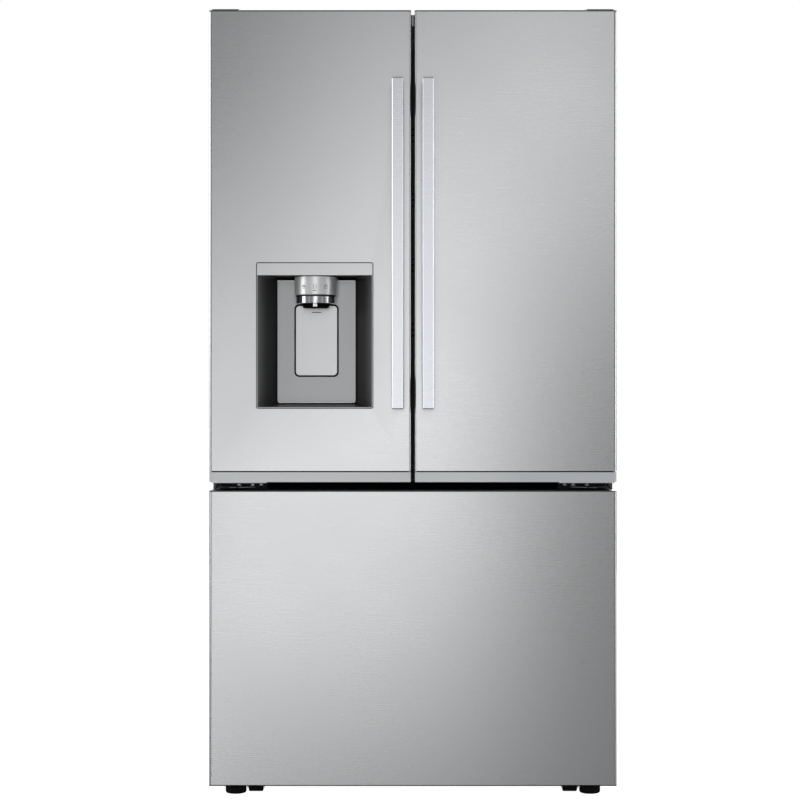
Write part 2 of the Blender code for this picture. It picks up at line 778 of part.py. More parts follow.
def dispenser_bezel(parent):
    """A thin rim round the dispenser's mouth with a broad bar across its top."""
    outer = dispenser_rectangle(GAP, DISPENSER_BOTTOM + GAP, DISPENSER_TOP - GAP)
    inner = dispenser_rectangle(0.003, DISPENSER_BOTTOM + 0.003, DISPENSER_TOP - BEZEL_BAR, 0.003)
    proud, back = FRONT - 0.0012, FRONT + 0.0038
    solid("dispenser_bezel", loft([
        upright(outer, back), upright(outer, proud), upright(inner, proud), upright(inner, back)
    ], ring=True), "satin", parent)


def dispenser_back_plate(parent):
    front, back = RECESS_BACK - 0.0025, RECESS_BACK - GAP
    x = DISPENSER_X
    inset = 0.0012
    outer = rectangle(
        x - RECESS_HALF + inset, x + RECESS_HALF - inset, RECESS_FLOOR + inset, RECESS_CEILING - inset, 0.006, 4
    )
    clear = 0.0026
    inner = rectangle(
        x - PADDLE_HALF - clear, x + PADDLE_HALF + clear, PADDLE_BOTTOM - clear, PADDLE_TOP + clear, 0.010, 4
    )
    solid("dispenser_back_plate", loft([
        upright(outer, back), upright(outer, front), upright(inner, front), upright(inner, back)
    ], ring=True), "stainless", parent)


def head_outline(radius, back, steps=20):
    """A round head's plan, cut flat at back where it reaches that far."""
    reach = math.degrees(math.asin(min((back - HEAD_Y) / radius, 0.98)))
    return arc((DISPENSER_X, HEAD_Y), radius, 180 - reach, 360 + reach, steps)


def dispenser_head(parent):
    back = RECESS_BACK - 0.0025 - GAP
    top = RECESS_CEILING - GAP
    levels = (
        (HEAD_RADIUS, top), (HEAD_RADIUS, 1.1340), (HEAD_RADIUS - 0.002, 1.1335),
        (HEAD_RADIUS - 0.002, 1.1312), (0.0446, 1.1307), (0.0446, 1.1150), (0.0300, 1.1145), (0.0280, 1.1055),
    )
    head = solid("dispenser_head", loft([flat(head_outline(r, back), z) for r, z in levels]), "satin", parent)
    join(head, boxes(((DISPENSER_X - 0.0047, -0.3190, 1.1075), (DISPENSER_X + 0.0047, -0.3090, 1.1160))))


def dispenser_paddle(parent):
    axis = pivot("paddle_axis", Vector((DISPENSER_X, RECESS_BACK, PADDLE_TOP - 0.006)) - world_place(parent))
    axis.parent = parent
    x = DISPENSER_X
    outline = rectangle(x - PADDLE_HALF, x + PADDLE_HALF, PADDLE_BOTTOM, PADDLE_TOP, 0.009, 4)
    face, back = RECESS_BACK - 0.0035, RECESS_BACK - 0.0005
    paddle = solid("dispenser_paddle", loft([upright(outline, face), upright(outline, back)]), "satin", axis)
    slit_z = PADDLE_TOP - 0.016
    cut(paddle, boxes(((x - 0.011, face - 0.01, slit_z), (x + 0.011, face + 0.0012, slit_z + 0.0016))))


# Inside the doors


def open_bin(name, low, high, surface, parent=None, taper=0.006, wall=BIN_WALL):
    """An open-topped box whose walls lean out a little towards the rim."""
    outer_low = rectangle(low[0] + taper, high[0] - taper, low[1] + taper, high[1], 0.010, 2)
    outer_high = rectangle(low[0], high[0], low[1], high[1], 0.012, 2)
    inner_high = rectangle(low[0] + wall, high[0] - wall, low[1] + wall, high[1] - wall, 0.0095, 2)
    inner_low = rectangle(
        low[0] + taper + wall, high[0] - taper - wall, low[1] + taper + wall, high[1] - wall, 0.0075, 2
    )
    return solid(name, loft([
        flat(outer_low, low[2]), flat(outer_high, high[2]), flat(inner_high, high[2]), flat(inner_low, low[2] + wall)
    ]), surface, parent)


def door_bins(left, right):
    open_bin("left_door_bin", (-0.352, -0.2045, 1.035), (-0.094, -0.112, 1.140), "clear", left)
    open_bin("right_door_bin_lower", (0.082, -0.2255, 1.055), (0.352, -0.118, 1.160), "clear", right)
    open_bin("right_door_bin_upper", (0.082, -0.2255, 1.390), (0.352, -0.118, 1.490), "clear", right)


def ice_compartment(parent):
    low, high = (-0.352, LEFT_PANEL_Y + GAP, 1.235), (-0.094, -0.112, 1.648)
    body = solid("ice_compartment", boxes((low, high)), "liner_white", parent)
    cut(body, boxes(((low[0] + 0.020, high[1] - 0.0015, low[2] + 0.020), (high[0] - 0.020, high[1] + 0.01, low[2] + 0.0215))))
    cut(body, boxes(((high[0] - 0.034, high[1] - 0.012, 1.420), (high[0] - 0.022, high[1] + 0.01, 1.480))))


def flip_mullion(parent):
    axis = pivot("mullion_axis", Vector((MULLION_X, MULLION_Y, 0)) - world_place(parent))
    axis.parent = parent
    plan = rectangle(-0.0500, -0.0295, -0.2080, -0.1480, 0.003, 2)
    bar = solid("flip_mullion", prism_z(plan, MULLION_BOTTOM, MULLION_TOP), "dark_grey", axis)
    for low in (MULLION_BOTTOM - 0.009, MULLION_TOP - 0.018):
        join(bar, rod(0.0025, (MULLION_X, MULLION_Y, low), 0.027, steps=12))
        middle = low + 0.0135
        join(bar, boxes(((MULLION_X - 0.0025, MULLION_Y, middle - 0.003), (MULLION_X + 0.0025, -0.205, middle + 0.003))))


# Freezer drawer


def freezer_drawer(parent):
    half = WIDTH / 2
    rounds = (OUTER_ROUND, OUTER_ROUND)
    wrapped_skin("drawer_skin", (-half, half), rounds, (DRAWER_BOTTOM, DRAWER_TOP - 0.002), parent)
    block_top = 0.655
    loops = liner_loops((-half, half), (DRAWER_BOTTOM + 0.0015, block_top), (-0.385, 0.385), (0.112, 0.640), PANEL_Y)
    solid("drawer_liner", loft(loops), "liner_white", parent)
    inside = front_outline(-half, half, DOOR_BACK - 0.001, SKIN + GAP, *rounds)
    outside = front_outline(-half, half, DOOR_BACK, 0, *rounds)
    lip = DRAWER_TOP - 0.002 + GAP
    cap = solid("drawer_top_cap", loft([
        flat(inside, block_top + GAP), flat(inside, lip), flat(outside, lip), flat(outside, DRAWER_TOP)
    ]), "dark_grey", parent)
    cut(cap, boxes(((-0.330, FRONT + 0.014, 0.664), (0.330, FRONT + 0.052, DRAWER_TOP + 0.01))))
    gasket("drawer_gasket", (-0.434, 0.434), (0.068, 0.686 - 0.002), parent)
    drawer_frame(parent)
    open_bin("drawer_basket", (-0.352, -0.182, 0.106), (0.352, 0.138, 0.405), "liner_white", parent, 0.012, 0.003)


def drawer_frame(parent):
    """Two slide members fixed to the drawer front, tied by a bar at the rear."""
    outer, inner = 0.378, 0.366
    front, rear = DYKE_TOP + GAP, 0.318
    outline = [
        (-outer, front), (-inner, front), (-inner, rear - 0.012), (inner, rear - 0.012),
        (inner, front), (outer, front), (outer, rear), (-outer, rear),
    ]
    solid("drawer_frame", prism_z(outline, 0.306, 0.336), "zinc", parent)


def drawer_rail(side):
    """A plate on the freezer wall with a channel for the drawer and a ledge for the tray."""
    name = "left" if side < 0 else "right"
    front, back = DYKE_TOP + 0.003, 0.325
    wall = OPENING_HALF - GAP
    outline = [
        (wall, 0.303), (0.3805, 0.303), (0.3805, 0.339), (0.386, 0.339), (0.386, 0.307), (0.393, 0.307),
        (0.393, 0.440), (0.376, 0.440), (0.376, 0.446), (wall, 0.446),
    ]
    loops = [[(side * a, y, b) for a, b in outline] for y in (front, back)]
    solid(f"{name}_drawer_rail", loft(loops), "zinc")


def upper_tray():
    axis = pivot("tray_axis", (0, TRAY_FRONT, 0.447))
    open_bin("upper_tray", (-0.388, TRAY_FRONT, 0.4470), (0.388, 0.315, 0.560), "clear", axis, 0.008, 0.003)


# Inside the fridge


def shelf(name, z):
    """A glass plate with a thicker front rail, from wall to wall."""
    half = OPENING_HALF - 0.0005
    outline = [
        (SHELF_FRONT, z - 0.010), (SHELF_FRONT + 0.012, z - 0.010), (SHELF_FRONT + 0.012, z),
        (SHELF_BACK, z), (SHELF_BACK, z + 0.006), (SHELF_FRONT + 0.012, z + 0.006),
        (SHELF_FRONT + 0.010, z + 0.008), (SHELF_FRONT, z + 0.008),
    ]
    solid(name, prism_x(outline, -half, half), "clear")


def crisper(side):
    name = "left" if side < 0 else "right"
    x0, x1 = span(side, 0.004, 0.394)
    axis = pivot(f"crisper_{name}_axis", (side * 0.199, SHELF_FRONT, 0.7535))
    open_bin(f"crisper_{name}", (x0, SHELF_FRONT - 0.004, 0.7535), (x1, 0.310, 0.972), "clear", axis, 0.008, 0.003)


def air_duct():
    half, front, back, low, high = 0.090, 0.314, LINER_BACK - GAP, 1.020, 1.690
    duct = solid("air_duct", boxes(((-half, front, low), (half, back, high))), "liner_white")
    slots = []
    for z in (1.10, 1.24, 1.42, 1.52, 1.62):
        for x in (-0.045, 0.045):
            slots.append(((x - 0.030, front - 0.01, z - 0.004), (x + 0.030, front + 0.010, z + 0.004)))
    cut(duct, boxes(*slots))


def evaporator_cover():
    front, back = 0.322, LINER_BACK - GAP
    cover = solid("evaporator_cover", boxes(((-0.388, front, 0.345), (0.388, back, 0.650))), "liner_white")
    slots = []
    for i in range(6):
        x = (i - 2.5) * 0.100
        slots.append(((x - 0.035, front - 0.01, 0.600), (x + 0.035, front + 0.006, 0.608)))
    cut(cover, boxes(*slots))
    cut(cover, boxes(((-0.42, front - 0.02, 0.435), (-0.375, back + 0.02, 0.450)), ((0.375, front - 0.02, 0.435), (0.42, back + 0.02, 0.450))))


def water_filter():
    x, z = -0.330, 1.655
    profile = [(0.026, -0.070), (0.031, -0.064), (0.031, -0.030), (0.028, -0.028), (0.028, 0.140)]
    body = solid("water_filter", turned(profile, (x, 0, z), "Y", 20), "liner_white", smooth=True)
    join(body, boxes(((x - 0.014, 0.020, z + 0.020), (x + 0.014, 0.110, FRIDGE_CEILING - GAP))))


def cabinet():
    cabinet_wrapper()
    cabinet_foam()
    fridge_liner()
    freezer_liner()
    back_panel()
    machine_cover()
    power_inlet()
    base_frame()
    divider_rail()
    compressor()
    condenser_fan()
    shelf("upper_shelf", UPPER_SHELF_Z)
    shelf("crisper_shelf", CRISPER_SHELF_Z)
    air_duct()
    evaporator_cover()
    water_filter()
    rear_roller_axle()
    upper_tray()
    for side in (-1, 1):
        top_hinge(side)
        hinge_cover(side)
        middle_hinge(side)
        drawer_rail(side)
        levelling_leg(side)
        front_roller(side)
        crisper(side)


def door(side):
    name = "left" if side < 0 else "right"
    axis = pivot(f"{name}_door_axis", (side * HINGE_X, HINGE_Y, DOOR_BOTTOM))
    door_skin(side, axis)
    door_liner(side, axis)
    top_cap(side, axis)
    bottom_cap(side, axis)
    gasket(f"{name}_door_gasket", span(side, 0.012, HINGE_X), (0.7225, 1.744), axis)
    handle(side, axis)
    return axis


def main():
    clear_scene()
    cabinet()
    left, right = door(-1), door(1)
    dispenser_recess(left)
    dispenser_bezel(left)
    dispenser_back_plate(left)
    dispenser_head(left)
    dispenser_paddle(left)
    door_bins(left, right)
    ice_compartment(left)
    flip_mullion(left)
    freezer_drawer(pivot("drawer_axis", (0, FRONT, DRAWER_BOTTOM)))


main()
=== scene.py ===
"""Looks of the french door refrigerator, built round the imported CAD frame."""

import json
import math

import bpy
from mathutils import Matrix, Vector


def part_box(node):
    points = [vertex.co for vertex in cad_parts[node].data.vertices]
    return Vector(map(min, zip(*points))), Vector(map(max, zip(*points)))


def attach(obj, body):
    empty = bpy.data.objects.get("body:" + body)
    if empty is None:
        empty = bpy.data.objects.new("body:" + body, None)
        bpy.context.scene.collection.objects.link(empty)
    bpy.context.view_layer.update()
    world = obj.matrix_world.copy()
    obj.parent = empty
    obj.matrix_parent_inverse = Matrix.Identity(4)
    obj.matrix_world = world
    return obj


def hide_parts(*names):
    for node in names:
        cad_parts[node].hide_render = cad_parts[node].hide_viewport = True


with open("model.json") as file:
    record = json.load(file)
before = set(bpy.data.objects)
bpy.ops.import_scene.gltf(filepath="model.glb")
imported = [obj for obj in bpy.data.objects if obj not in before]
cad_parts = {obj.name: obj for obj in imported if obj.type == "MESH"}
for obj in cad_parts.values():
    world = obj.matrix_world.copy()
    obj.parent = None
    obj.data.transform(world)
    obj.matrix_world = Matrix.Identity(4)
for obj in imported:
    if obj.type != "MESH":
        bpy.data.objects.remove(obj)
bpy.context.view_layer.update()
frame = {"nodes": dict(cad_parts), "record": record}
NODES = frame["nodes"]
BOWL_MOUTH_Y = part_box("dispenser_recess")[0].y
BOWL_BACK_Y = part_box("dispenser_back_plate")[1].y
DOOR_FRONT_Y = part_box("left_door_skin")[0].y


# Node trees


def scaled(colour, factor, lift=0.0):
    """A colour times a factor, plus a lift, no channel over 1."""
    return tuple(min(1.0, c * factor + lift) for c in colour)


class Shade:
    """One material and its node tree, with short ways to add nodes."""

    def __init__(self, name, base, rough, metal=0.0, **settings):
        self.material = bpy.data.materials.new(name)
        self.material.use_nodes = True
        self.tree = self.material.node_tree
        self.tree.nodes.clear()
        self.out = self.tree.nodes.new("ShaderNodeOutputMaterial")
        self.bsdf = self.tree.nodes.new("ShaderNodeBsdfPrincipled")
        self.tree.links.new(self.bsdf.outputs[0], self.out.inputs[0])
        self.set("Base Color", (*base, 1.0))
        self.set("Roughness", rough)
        self.set("Metallic", metal)
        for key, value in settings.items():
            self.set(key.replace("_", " "), value)

    def set(self, socket, value):
        if isinstance(value, bpy.types.NodeSocket):
            self.tree.links.new(value, self.bsdf.inputs[socket])
        else:
            self.bsdf.inputs[socket].default_value = value

    def node(self, kind, inputs=(), **settings):
        made = self.tree.nodes.new(kind)
        for key, value in settings.items():
            setattr(made, key, value)
        for key, value in dict(inputs).items():
            if isinstance(value, bpy.types.NodeSocket):
                self.tree.links.new(value, made.inputs[key])
            else:
                made.inputs[key].default_value = value
        return made

    def coords(self, scale=(1, 1, 1), turn=(0, 0, 0)):
        place = self.node("ShaderNodeTexCoord").outputs["Object"]
        mapping = self.node("ShaderNodeMapping", {"Vector": place, "Scale": scale, "Rotation": turn})
        return mapping.outputs[0]

    def along(self, run, across):
        """Coordinates for a horizontal grain: run along X and Y together, across along Z."""
        place = self.node("ShaderNodeTexCoord").outputs["Object"]
        parts = self.node("ShaderNodeSeparateXYZ", {0: place}).outputs
        flat = self.math("ADD", parts[0], parts[1])
        return self.node("ShaderNodeCombineXYZ", {
            0: self.math("MULTIPLY", flat, run), 1: self.math("MULTIPLY", parts[1], 3.0),
            2: self.math("MULTIPLY", parts[2], across),
        }).outputs[0]

    def noise(self, vector, scale=1.0, detail=3.0, rough=0.55):
        inputs = {"Vector": vector, "Scale": scale, "Detail": detail, "Roughness": rough}
        return self.node("ShaderNodeTexNoise", inputs).outputs["Fac"]

    def cells(self, vector, scale=1.0, output="Distance", feature="F1"):
        made = self.node("ShaderNodeTexVoronoi", {"Vector": vector, "Scale": scale}, feature=feature)
        return made.outputs[output]

    def math(self, kind, a, b=0.0, clamp=False):
        return self.node("ShaderNodeMath", {0: a, 1: b}, operation=kind, use_clamp=clamp).outputs[0]

    def spread(self, value, low, high):
        """A 0 to 1 value spread over low to high."""
        return self.node("ShaderNodeMapRange", {0: value, 1: 0.25, 2: 0.75, 3: low, 4: high}).outputs[0]

    def ramp(self, value, *stops):
        made = self.node("ShaderNodeValToRGB", {0: value})
        points = made.color_ramp.elements
        while len(points) < len(stops):
            points.new(0.5)
        for point, (place, colour) in zip(points, stops):
            point.position = place
            point.color = (*colour, 1.0) if len(colour) == 3 else colour
        return made.outputs[0]

    def blend(self, value, first, second):
        first = (*first, 1.0) if isinstance(first, tuple) else first
        second = (*second, 1.0) if isinstance(second, tuple) else second
        return self.node("ShaderNodeMix", {0: value, 6: first, 7: second}, data_type="RGBA").outputs[2]

    def worn(self, reach=0.5):
        """Near 1 on outer edges and 0 elsewhere."""
        point = self.node("ShaderNodeNewGeometry").outputs["Pointiness"]
        return self.node("ShaderNodeMapRange", {0: point, 1: 0.52, 2: 0.60, 3: 0.0, 4: reach}).outputs[0]

    def bump(self, height, strength, distance, under=None):
        inputs = {"Height": height, "Strength": strength, "Distance": distance}
        if under is not None:
            inputs["Normal"] = under
        made = self.node("ShaderNodeBump", inputs).outputs[0]
        self.set("Normal", made)
        return made


def brushed(name, base, rough, aniso=0.6, upright=False, streak=0.022, lift=0.018, metal=1.0):
    """Brushed metal: long fine scratches, with broader bands and faint cloudy wear over them."""
    shade = Shade(name, base, rough, metal, Anisotropic=aniso)
    if upright:
        fine = shade.noise(shade.coords((2200.0, 2200.0, 14.0)), 1.0, 2.0, 0.6)
        broad = shade.noise(shade.coords((260.0, 260.0, 3.0)), 1.0, 3.0, 0.5)
        tangent = (1.0, 0.0, 0.0)
    else:
        fine = shade.noise(shade.along(34.0, 2400.0), 1.0, 2.0, 0.6)
        broad = shade.noise(shade.along(11.0, 700.0), 1.0, 3.0, 0.5)
        tangent = (0.0, 0.0, 1.0)
    cloud = shade.noise(shade.coords((3.0, 3.0, 3.0)), 1.0, 4.0, 0.5)
    grain = shade.math("ADD", shade.math("MULTIPLY", fine, 0.6), shade.math("MULTIPLY", broad, 0.4))
    tone = shade.ramp(grain, (0.3, scaled(base, 1 - streak)), (0.7, scaled(base, 1 + streak)))
    worn = shade.worn(0.45)
    shade.set("Base Color", shade.blend(worn, tone, scaled(base, 1.18)))
    grain_rough = shade.spread(grain, rough - 0.03, rough + 0.03)
    level = shade.math("ADD", grain_rough, shade.spread(cloud, -0.012, 0.012))
    shade.set("Roughness", shade.math("SUBTRACT", level, shade.math("MULTIPLY", worn, 0.10)))
    shade.set("Tangent", shade.node("ShaderNodeCombineXYZ", dict(enumerate(tangent))).outputs[0])
    shade.bump(grain, lift, 0.00012)
    return shade.material


def painted(name, base, rough, pebble=900.0, lift=0.25):
    """Powder-painted sheet with a pebbled skin, worn a little on its edges."""
    shade = Shade(name, base, rough, 0.0, Specular_IOR_Level=0.45)
    skin = shade.noise(shade.coords(), pebble, 2.0, 0.5)
    cloud = shade.noise(shade.coords(), 5.0, 4.0, 0.5)
    tone = shade.ramp(cloud, (0.3, scaled(base, 0.93)), (0.7, scaled(base, 1.07)))
    worn = shade.worn(0.5)
    shade.set("Base Color", shade.blend(worn, tone, scaled(base, 1.5, 0.03)))
    both = shade.math("MULTIPLY", shade.math("ADD", skin, cloud), 0.5)
    shade.set("Roughness", shade.spread(both, rough - 0.07, rough + 0.07))
    shade.bump(skin, lift, 0.0003)
    return shade.material


def galvanised(name):
    """Zinc-coated sheet: faint spangle with long rolling scratches."""
    shade = Shade(name, (0.52, 0.53, 0.53), 0.38, 1.0)
    spangle = shade.cells(shade.coords(), 160.0, "Color")
    value = shade.node("ShaderNodeSeparateColor", {0: spangle}).outputs[0]
    scratch = shade.noise(shade.coords((300.0, 20.0, 20.0)), 1.0, 3.0, 0.6)
    tone = shade.ramp(value, (0.0, (0.49, 0.50, 0.51)), (1.0, (0.57, 0.58, 0.58)))
    shade.set("Base Color", shade.blend(shade.worn(0.4), tone, (0.75, 0.75, 0.74)))
    spangle_rough = shade.math("MULTIPLY", value, 0.06)
    shade.set("Roughness", shade.math("ADD", spangle_rough, shade.spread(scratch, 0.32, 0.40)))
    shade.bump(scratch, 0.08, 0.0002)
    return shade.material


def moulded(name, base, rough, grain=1400.0, lift=0.12, coat=0.0, shade_by=0.05, spec=0.5):
    """Moulded plastic: fine skin grain, faint flow clouds and edges rubbed shinier."""
    shade = Shade(name, base, rough, 0.0, Coat_Weight=coat, Coat_Roughness=0.08, Specular_IOR_Level=spec)
    skin = shade.noise(shade.coords(), grain, 2.0, 0.5)
    cloud = shade.noise(shade.coords((6.0, 6.0, 14.0)), 1.0, 4.0, 0.55)
    worn = shade.worn(0.35)
    tone = shade.ramp(cloud, (0.3, scaled(base, 1 - shade_by)), (0.7, scaled(base, 1 + shade_by)))
    shade.set("Base Color", shade.blend(worn, tone, scaled(base, 1.25, 0.01)))
    skin_rough = shade.spread(skin, rough - 0.04, rough + 0.04)
    level = shade.math("ADD", skin_rough, shade.spread(cloud, -0.03, 0.03))
    shade.set("Roughness", shade.math("SUBTRACT", level, shade.math("MULTIPLY", worn, 0.15), clamp=True))
    shade.bump(skin, lift, 0.00015)
    return shade.material


def bowl_plastic():
    """Dark plastic of the dispenser's bowl, with painted shade: paler towards its mouth and darker towards
    the back plate, as the light falling into the bowl would make it.
    """
    shade = Shade("dispenser_bowl_painted_shade", (0.03, 0.03, 0.03), 0.34, 0.0, Specular_IOR_Level=0.35)
    skin = shade.noise(shade.coords(), 1500.0, 2.0, 0.5)
    cloud = shade.noise(shade.coords((12.0, 12.0, 30.0)), 1.0, 4.0, 0.55)
    place = shade.node("ShaderNodeTexCoord").outputs["Object"]
    depth = shade.node("ShaderNodeSeparateXYZ", {0: place}).outputs[1]
    shade_span = {0: depth, 1: BOWL_MOUTH_Y, 2: BOWL_BACK_Y, 3: 0.0, 4: 1.0}
    along = shade.node("ShaderNodeMapRange", shade_span).outputs[0]
    # Painted shade: the colour runs from mid grey at the mouth to near black at the back plate.
    tone = shade.ramp(
        along,
        (0.0, (0.125, 0.127, 0.130)), (0.22, (0.062, 0.063, 0.065)),
        (0.5, (0.022, 0.022, 0.023)), (1.0, (0.006, 0.006, 0.006)),
    )
    shade.set("Base Color", shade.blend(shade.spread(cloud, 0.0, 0.12), tone, (0.05, 0.05, 0.052)))
    shade.set("Roughness", shade.spread(skin, 0.30, 0.40))
    shade.bump(skin, 0.05, 0.00015)
    return shade.material


def glassy(name, base, rough=0.04):
    """Clear moulded polystyrene or glass with faint flow lines and handling haze."""
    shade = Shade(name, base, rough, 0.0, Transmission_Weight=1.0, IOR=1.49)
    haze = shade.noise(shade.coords((9.0, 9.0, 9.0)), 1.0, 5.0, 0.6)
    lines = shade.noise(shade.coords((20.0, 60.0, 240.0)), 1.0, 2.0, 0.5)
    shade.set("Roughness", shade.spread(haze, rough, rough + 0.07))
    shade.set("Base Color", shade.ramp(haze, (0.3, scaled(base, 0.97)), (0.7, base)))
    shade.bump(lines, 0.05, 0.0004)
    return shade.material


def rubber(name, base):
    """Soft black or grey rubber with a dusty film."""
    shade = Shade(name, base, 0.7, 0.0, Sheen_Weight=0.15)
    ribs = shade.noise(shade.coords((900.0, 900.0, 900.0)), 1.0, 2.0, 0.6)
    dust = shade.noise(shade.coords((40.0, 40.0, 40.0)), 1.0, 4.0, 0.6)
    shade.set("Base Color", shade.ramp(dust, (0.3, scaled(base, 0.85)), (0.7, scaled(base, 1.1))))
    shade.set("Roughness", shade.spread(dust, 0.6, 0.8))
    shade.bump(ribs, 0.2, 0.0002)
    return shade.material


def foamed(name):
    """Yellow insulation foam with open pores."""
    shade = Shade(name, (0.80, 0.70, 0.42), 0.9)
    pores = shade.cells(shade.coords(), 420.0)
    cloud = shade.noise(shade.coords(), 18.0, 4.0, 0.6)
    shade.set("Base Color", shade.ramp(cloud, (0.3, (0.70, 0.58, 0.32)), (0.7, (0.86, 0.76, 0.48))))
    shade.set("Roughness", shade.spread(pores, 0.8, 0.98))
    shade.bump(pores, 0.6, 0.0008)
    return shade.material


MATERIALS = {
    "stainless": brushed("brushed_stainless", (0.60, 0.605, 0.61), 0.33, 0.55),
    "stainless_upright": brushed(
        "upright_brushed_stainless", (0.46, 0.465, 0.47), 0.36, 0.5, upright=True
    ),
    "satin": brushed("satin_aluminium", (0.67, 0.685, 0.72), 0.30, 0.2, streak=0.015, lift=0.03),
    "chrome": brushed("polished_ring", (0.86, 0.87, 0.88), 0.22, 0.85, streak=0.01, lift=0.01),
    "case_grey": painted("pebbled_case_paint", (0.20, 0.20, 0.205), 0.42),
    "zinc": galvanised("galvanised_steel"),
    "liner_white": moulded("white_liner", (0.80, 0.81, 0.82), 0.24, 700.0, 0.06, 0.0, 0.012),
    "foam": foamed("insulation_foam"),
    "black": moulded("black_plastic", (0.010, 0.010, 0.011), 0.50),
    # Deep black: black plastic made darker and duller than real black, as painted shade for parts and gaps
    # that sit in shade.
    "deep_black": moulded("shade_black_plastic", (0.0015, 0.0015, 0.0016), 0.70, spec=0.05),
    "black_steel": painted("black_hinge_paint", (0.006, 0.006, 0.0065), 0.45),
    "dark_grey": moulded("dark_grey_plastic", (0.060, 0.061, 0.064), 0.34, 1600.0, 0.08),
    "gloss_grey": moulded("gloss_grey_plastic", (0.370, 0.382, 0.392), 0.14, 900.0, 0.02, 0.6, 0.02),
    "bowl": bowl_plastic(),
    "plain_satin": brushed(
        "neutral_satin_metal", (0.64, 0.645, 0.65), 0.34, 0.5, streak=0.02, lift=0.03
    ),
    "head_metal": brushed(
        "dispenser_head_metal", (0.86, 0.865, 0.87), 0.36, 0.2, streak=0.015, lift=0.03, metal=0.72
    ),
    "rim_metal": brushed(
        "dispenser_rim_metal", (0.34, 0.34, 0.345), 0.35, 0.2, streak=0.02, lift=0.03
    ),
    "lamp": moulded("frosted_lamp_cover", (0.90, 0.90, 0.88), 0.35, 500.0, 0.10),
    "gasket": rubber("gasket_rubber", (0.30, 0.305, 0.31)),
    "seal": rubber("black_edge_rubber", (0.012, 0.012, 0.013)),
    "clear": glassy("clear_plastic", (0.88, 0.94, 0.97)),
    "white": moulded("white_nozzle", (0.85, 0.85, 0.84), 0.30),
    "ink": moulded("dark_print", (0.010, 0.010, 0.011), 0.50),
}


# Soft edges on the CAD nodes

SHARP_ANGLE = math.radians(32)
WELD_DISTANCE = 1e-5


def soft_group():
    """Geometry nodes: weld the imported faces, shade smooth, keep edges over SHARP_ANGLE sharp."""
    group = bpy.data.node_groups.new("soft_edges", "GeometryNodeTree")
    group.interface.new_socket("Geometry", in_out="INPUT", socket_type="NodeSocketGeometry")
    group.interface.new_socket("Geometry", in_out="OUTPUT", socket_type="NodeSocketGeometry")
    add, join = group.nodes.new, group.links.new
    start, end = add("NodeGroupInput"), add("NodeGroupOutput")
    weld = add("GeometryNodeMergeByDistance")
    weld.inputs["Distance"].default_value = WELD_DISTANCE
    plain = add("GeometryNodeSetMeshNormal")
    plain.mode = "SHARPNESS"
    plain.inputs["Remove Custom"].default_value = True
    smooth = add("GeometryNodeSetShadeSmooth")
    smooth.inputs["Shade Smooth"].default_value = True
    edges = add("GeometryNodeSetShadeSmooth")
    edges.domain = "EDGE"
    edges.inputs["Shade Smooth"].default_value = False
    angle = add("GeometryNodeInputMeshEdgeAngle")
    over = add("FunctionNodeCompare")
    over.operation = "GREATER_THAN"
    over.inputs[1].default_value = SHARP_ANGLE
    join(start.outputs[0], weld.inputs["Geometry"])
    join(weld.outputs[0], plain.inputs["Mesh"])
    for before, after in ((plain, smooth), (smooth, edges)):
        join(before.outputs[0], after.inputs["Mesh" if "Mesh" in after.inputs else "Geometry"])
    join(angle.outputs["Unsigned Angle"], over.inputs[0])
    join(over.outputs[0], edges.inputs["Selection"])
    join(edges.outputs[0], end.inputs[0])
    return group


SOFT = soft_group()


def soften(obj, width=0.0, segments=3):
    """Smooth shading for an object, its sharp edges rounded by a bevel of this width."""
    weld = obj.modifiers.new("soft_edges", "NODES")
    weld.node_group = SOFT
    if width:
        bevel = obj.modifiers.new("edge_round", "BEVEL")
        bevel.width = width
        bevel.segments = segments
        bevel.limit_method = "ANGLE"
        bevel.angle_limit = SHARP_ANGLE
        bevel.harden_normals = True
    even = obj.modifiers.new("flat_faces", "WEIGHTED_NORMAL")
    even.keep_sharp = True
    even.weight = 100


# Solids


def loft(loops, ring=False):
    """(points, faces) of a skin through equal loops, closed at its ends unless it is a ring of them."""
    count = len(loops[0])
    points = [tuple(p) for loop in loops for p in loop]
    faces = []
    rows = len(loops) if ring else len(loops) - 1
    for row in range(rows):
        a, b = row * count, ((row + 1) % len(loops)) * count
        for i in range(count):
            j = (i + 1) % count
            faces.append((a + i, a + j, b + j, b + i))
    if not ring:
        faces.append(tuple(reversed(range(count))))
        faces.append(tuple(range(len(points) - count, len(points))))
    return points, faces


def rounded(u0, u1, v0, v1, radius, steps=6):
    """The outline of a rectangle with round corners."""
    points = []
    for cu, cv, start in (
        (u0 + radius, v0 + radius, 180), (u1 - radius, v0 + radius, 270),
        (u1 - radius, v1 - radius, 0), (u0 + radius, v1 - radius, 90),
    ):
        for k in range(steps + 1):
            a = math.radians(start + 90 * k / steps)
            points.append((cu + radius * math.cos(a), cv + radius * math.sin(a)))
    return points


def upright(outline, y):
    """An outline stood in the XZ plane at this y."""
    return [(u, y, v) for u, v in outline]


def flat(outline, z):
    """An outline laid in the XY plane at this height."""
    return [(u, v, z) for u, v in outline]


BOX_FACES = ((0, 2, 3, 1), (4, 5, 7, 6), (0, 1, 5, 4), (2, 6, 7, 3), (0, 4, 6, 2), (1, 3, 7, 5))


def boxes(*pairs):
    """Boxes between pairs of opposite corners, as one shape."""
    points, faces = [], []
    for low, high in pairs:
        base = len(points)
        xs, ys, zs = zip(low, high)
        points += [(x, y, z) for z in zs for y in ys for x in xs]
        faces += [tuple(base + i for i in face) for face in BOX_FACES]
    return points, faces


def merged(*shapes):
    """Several shapes as one."""
    points, faces = [], []
    for more_points, more_faces in shapes:
        base = len(points)
        points += list(more_points)
        faces += [tuple(base + i for i in face) for face in more_faces]
    return points, faces


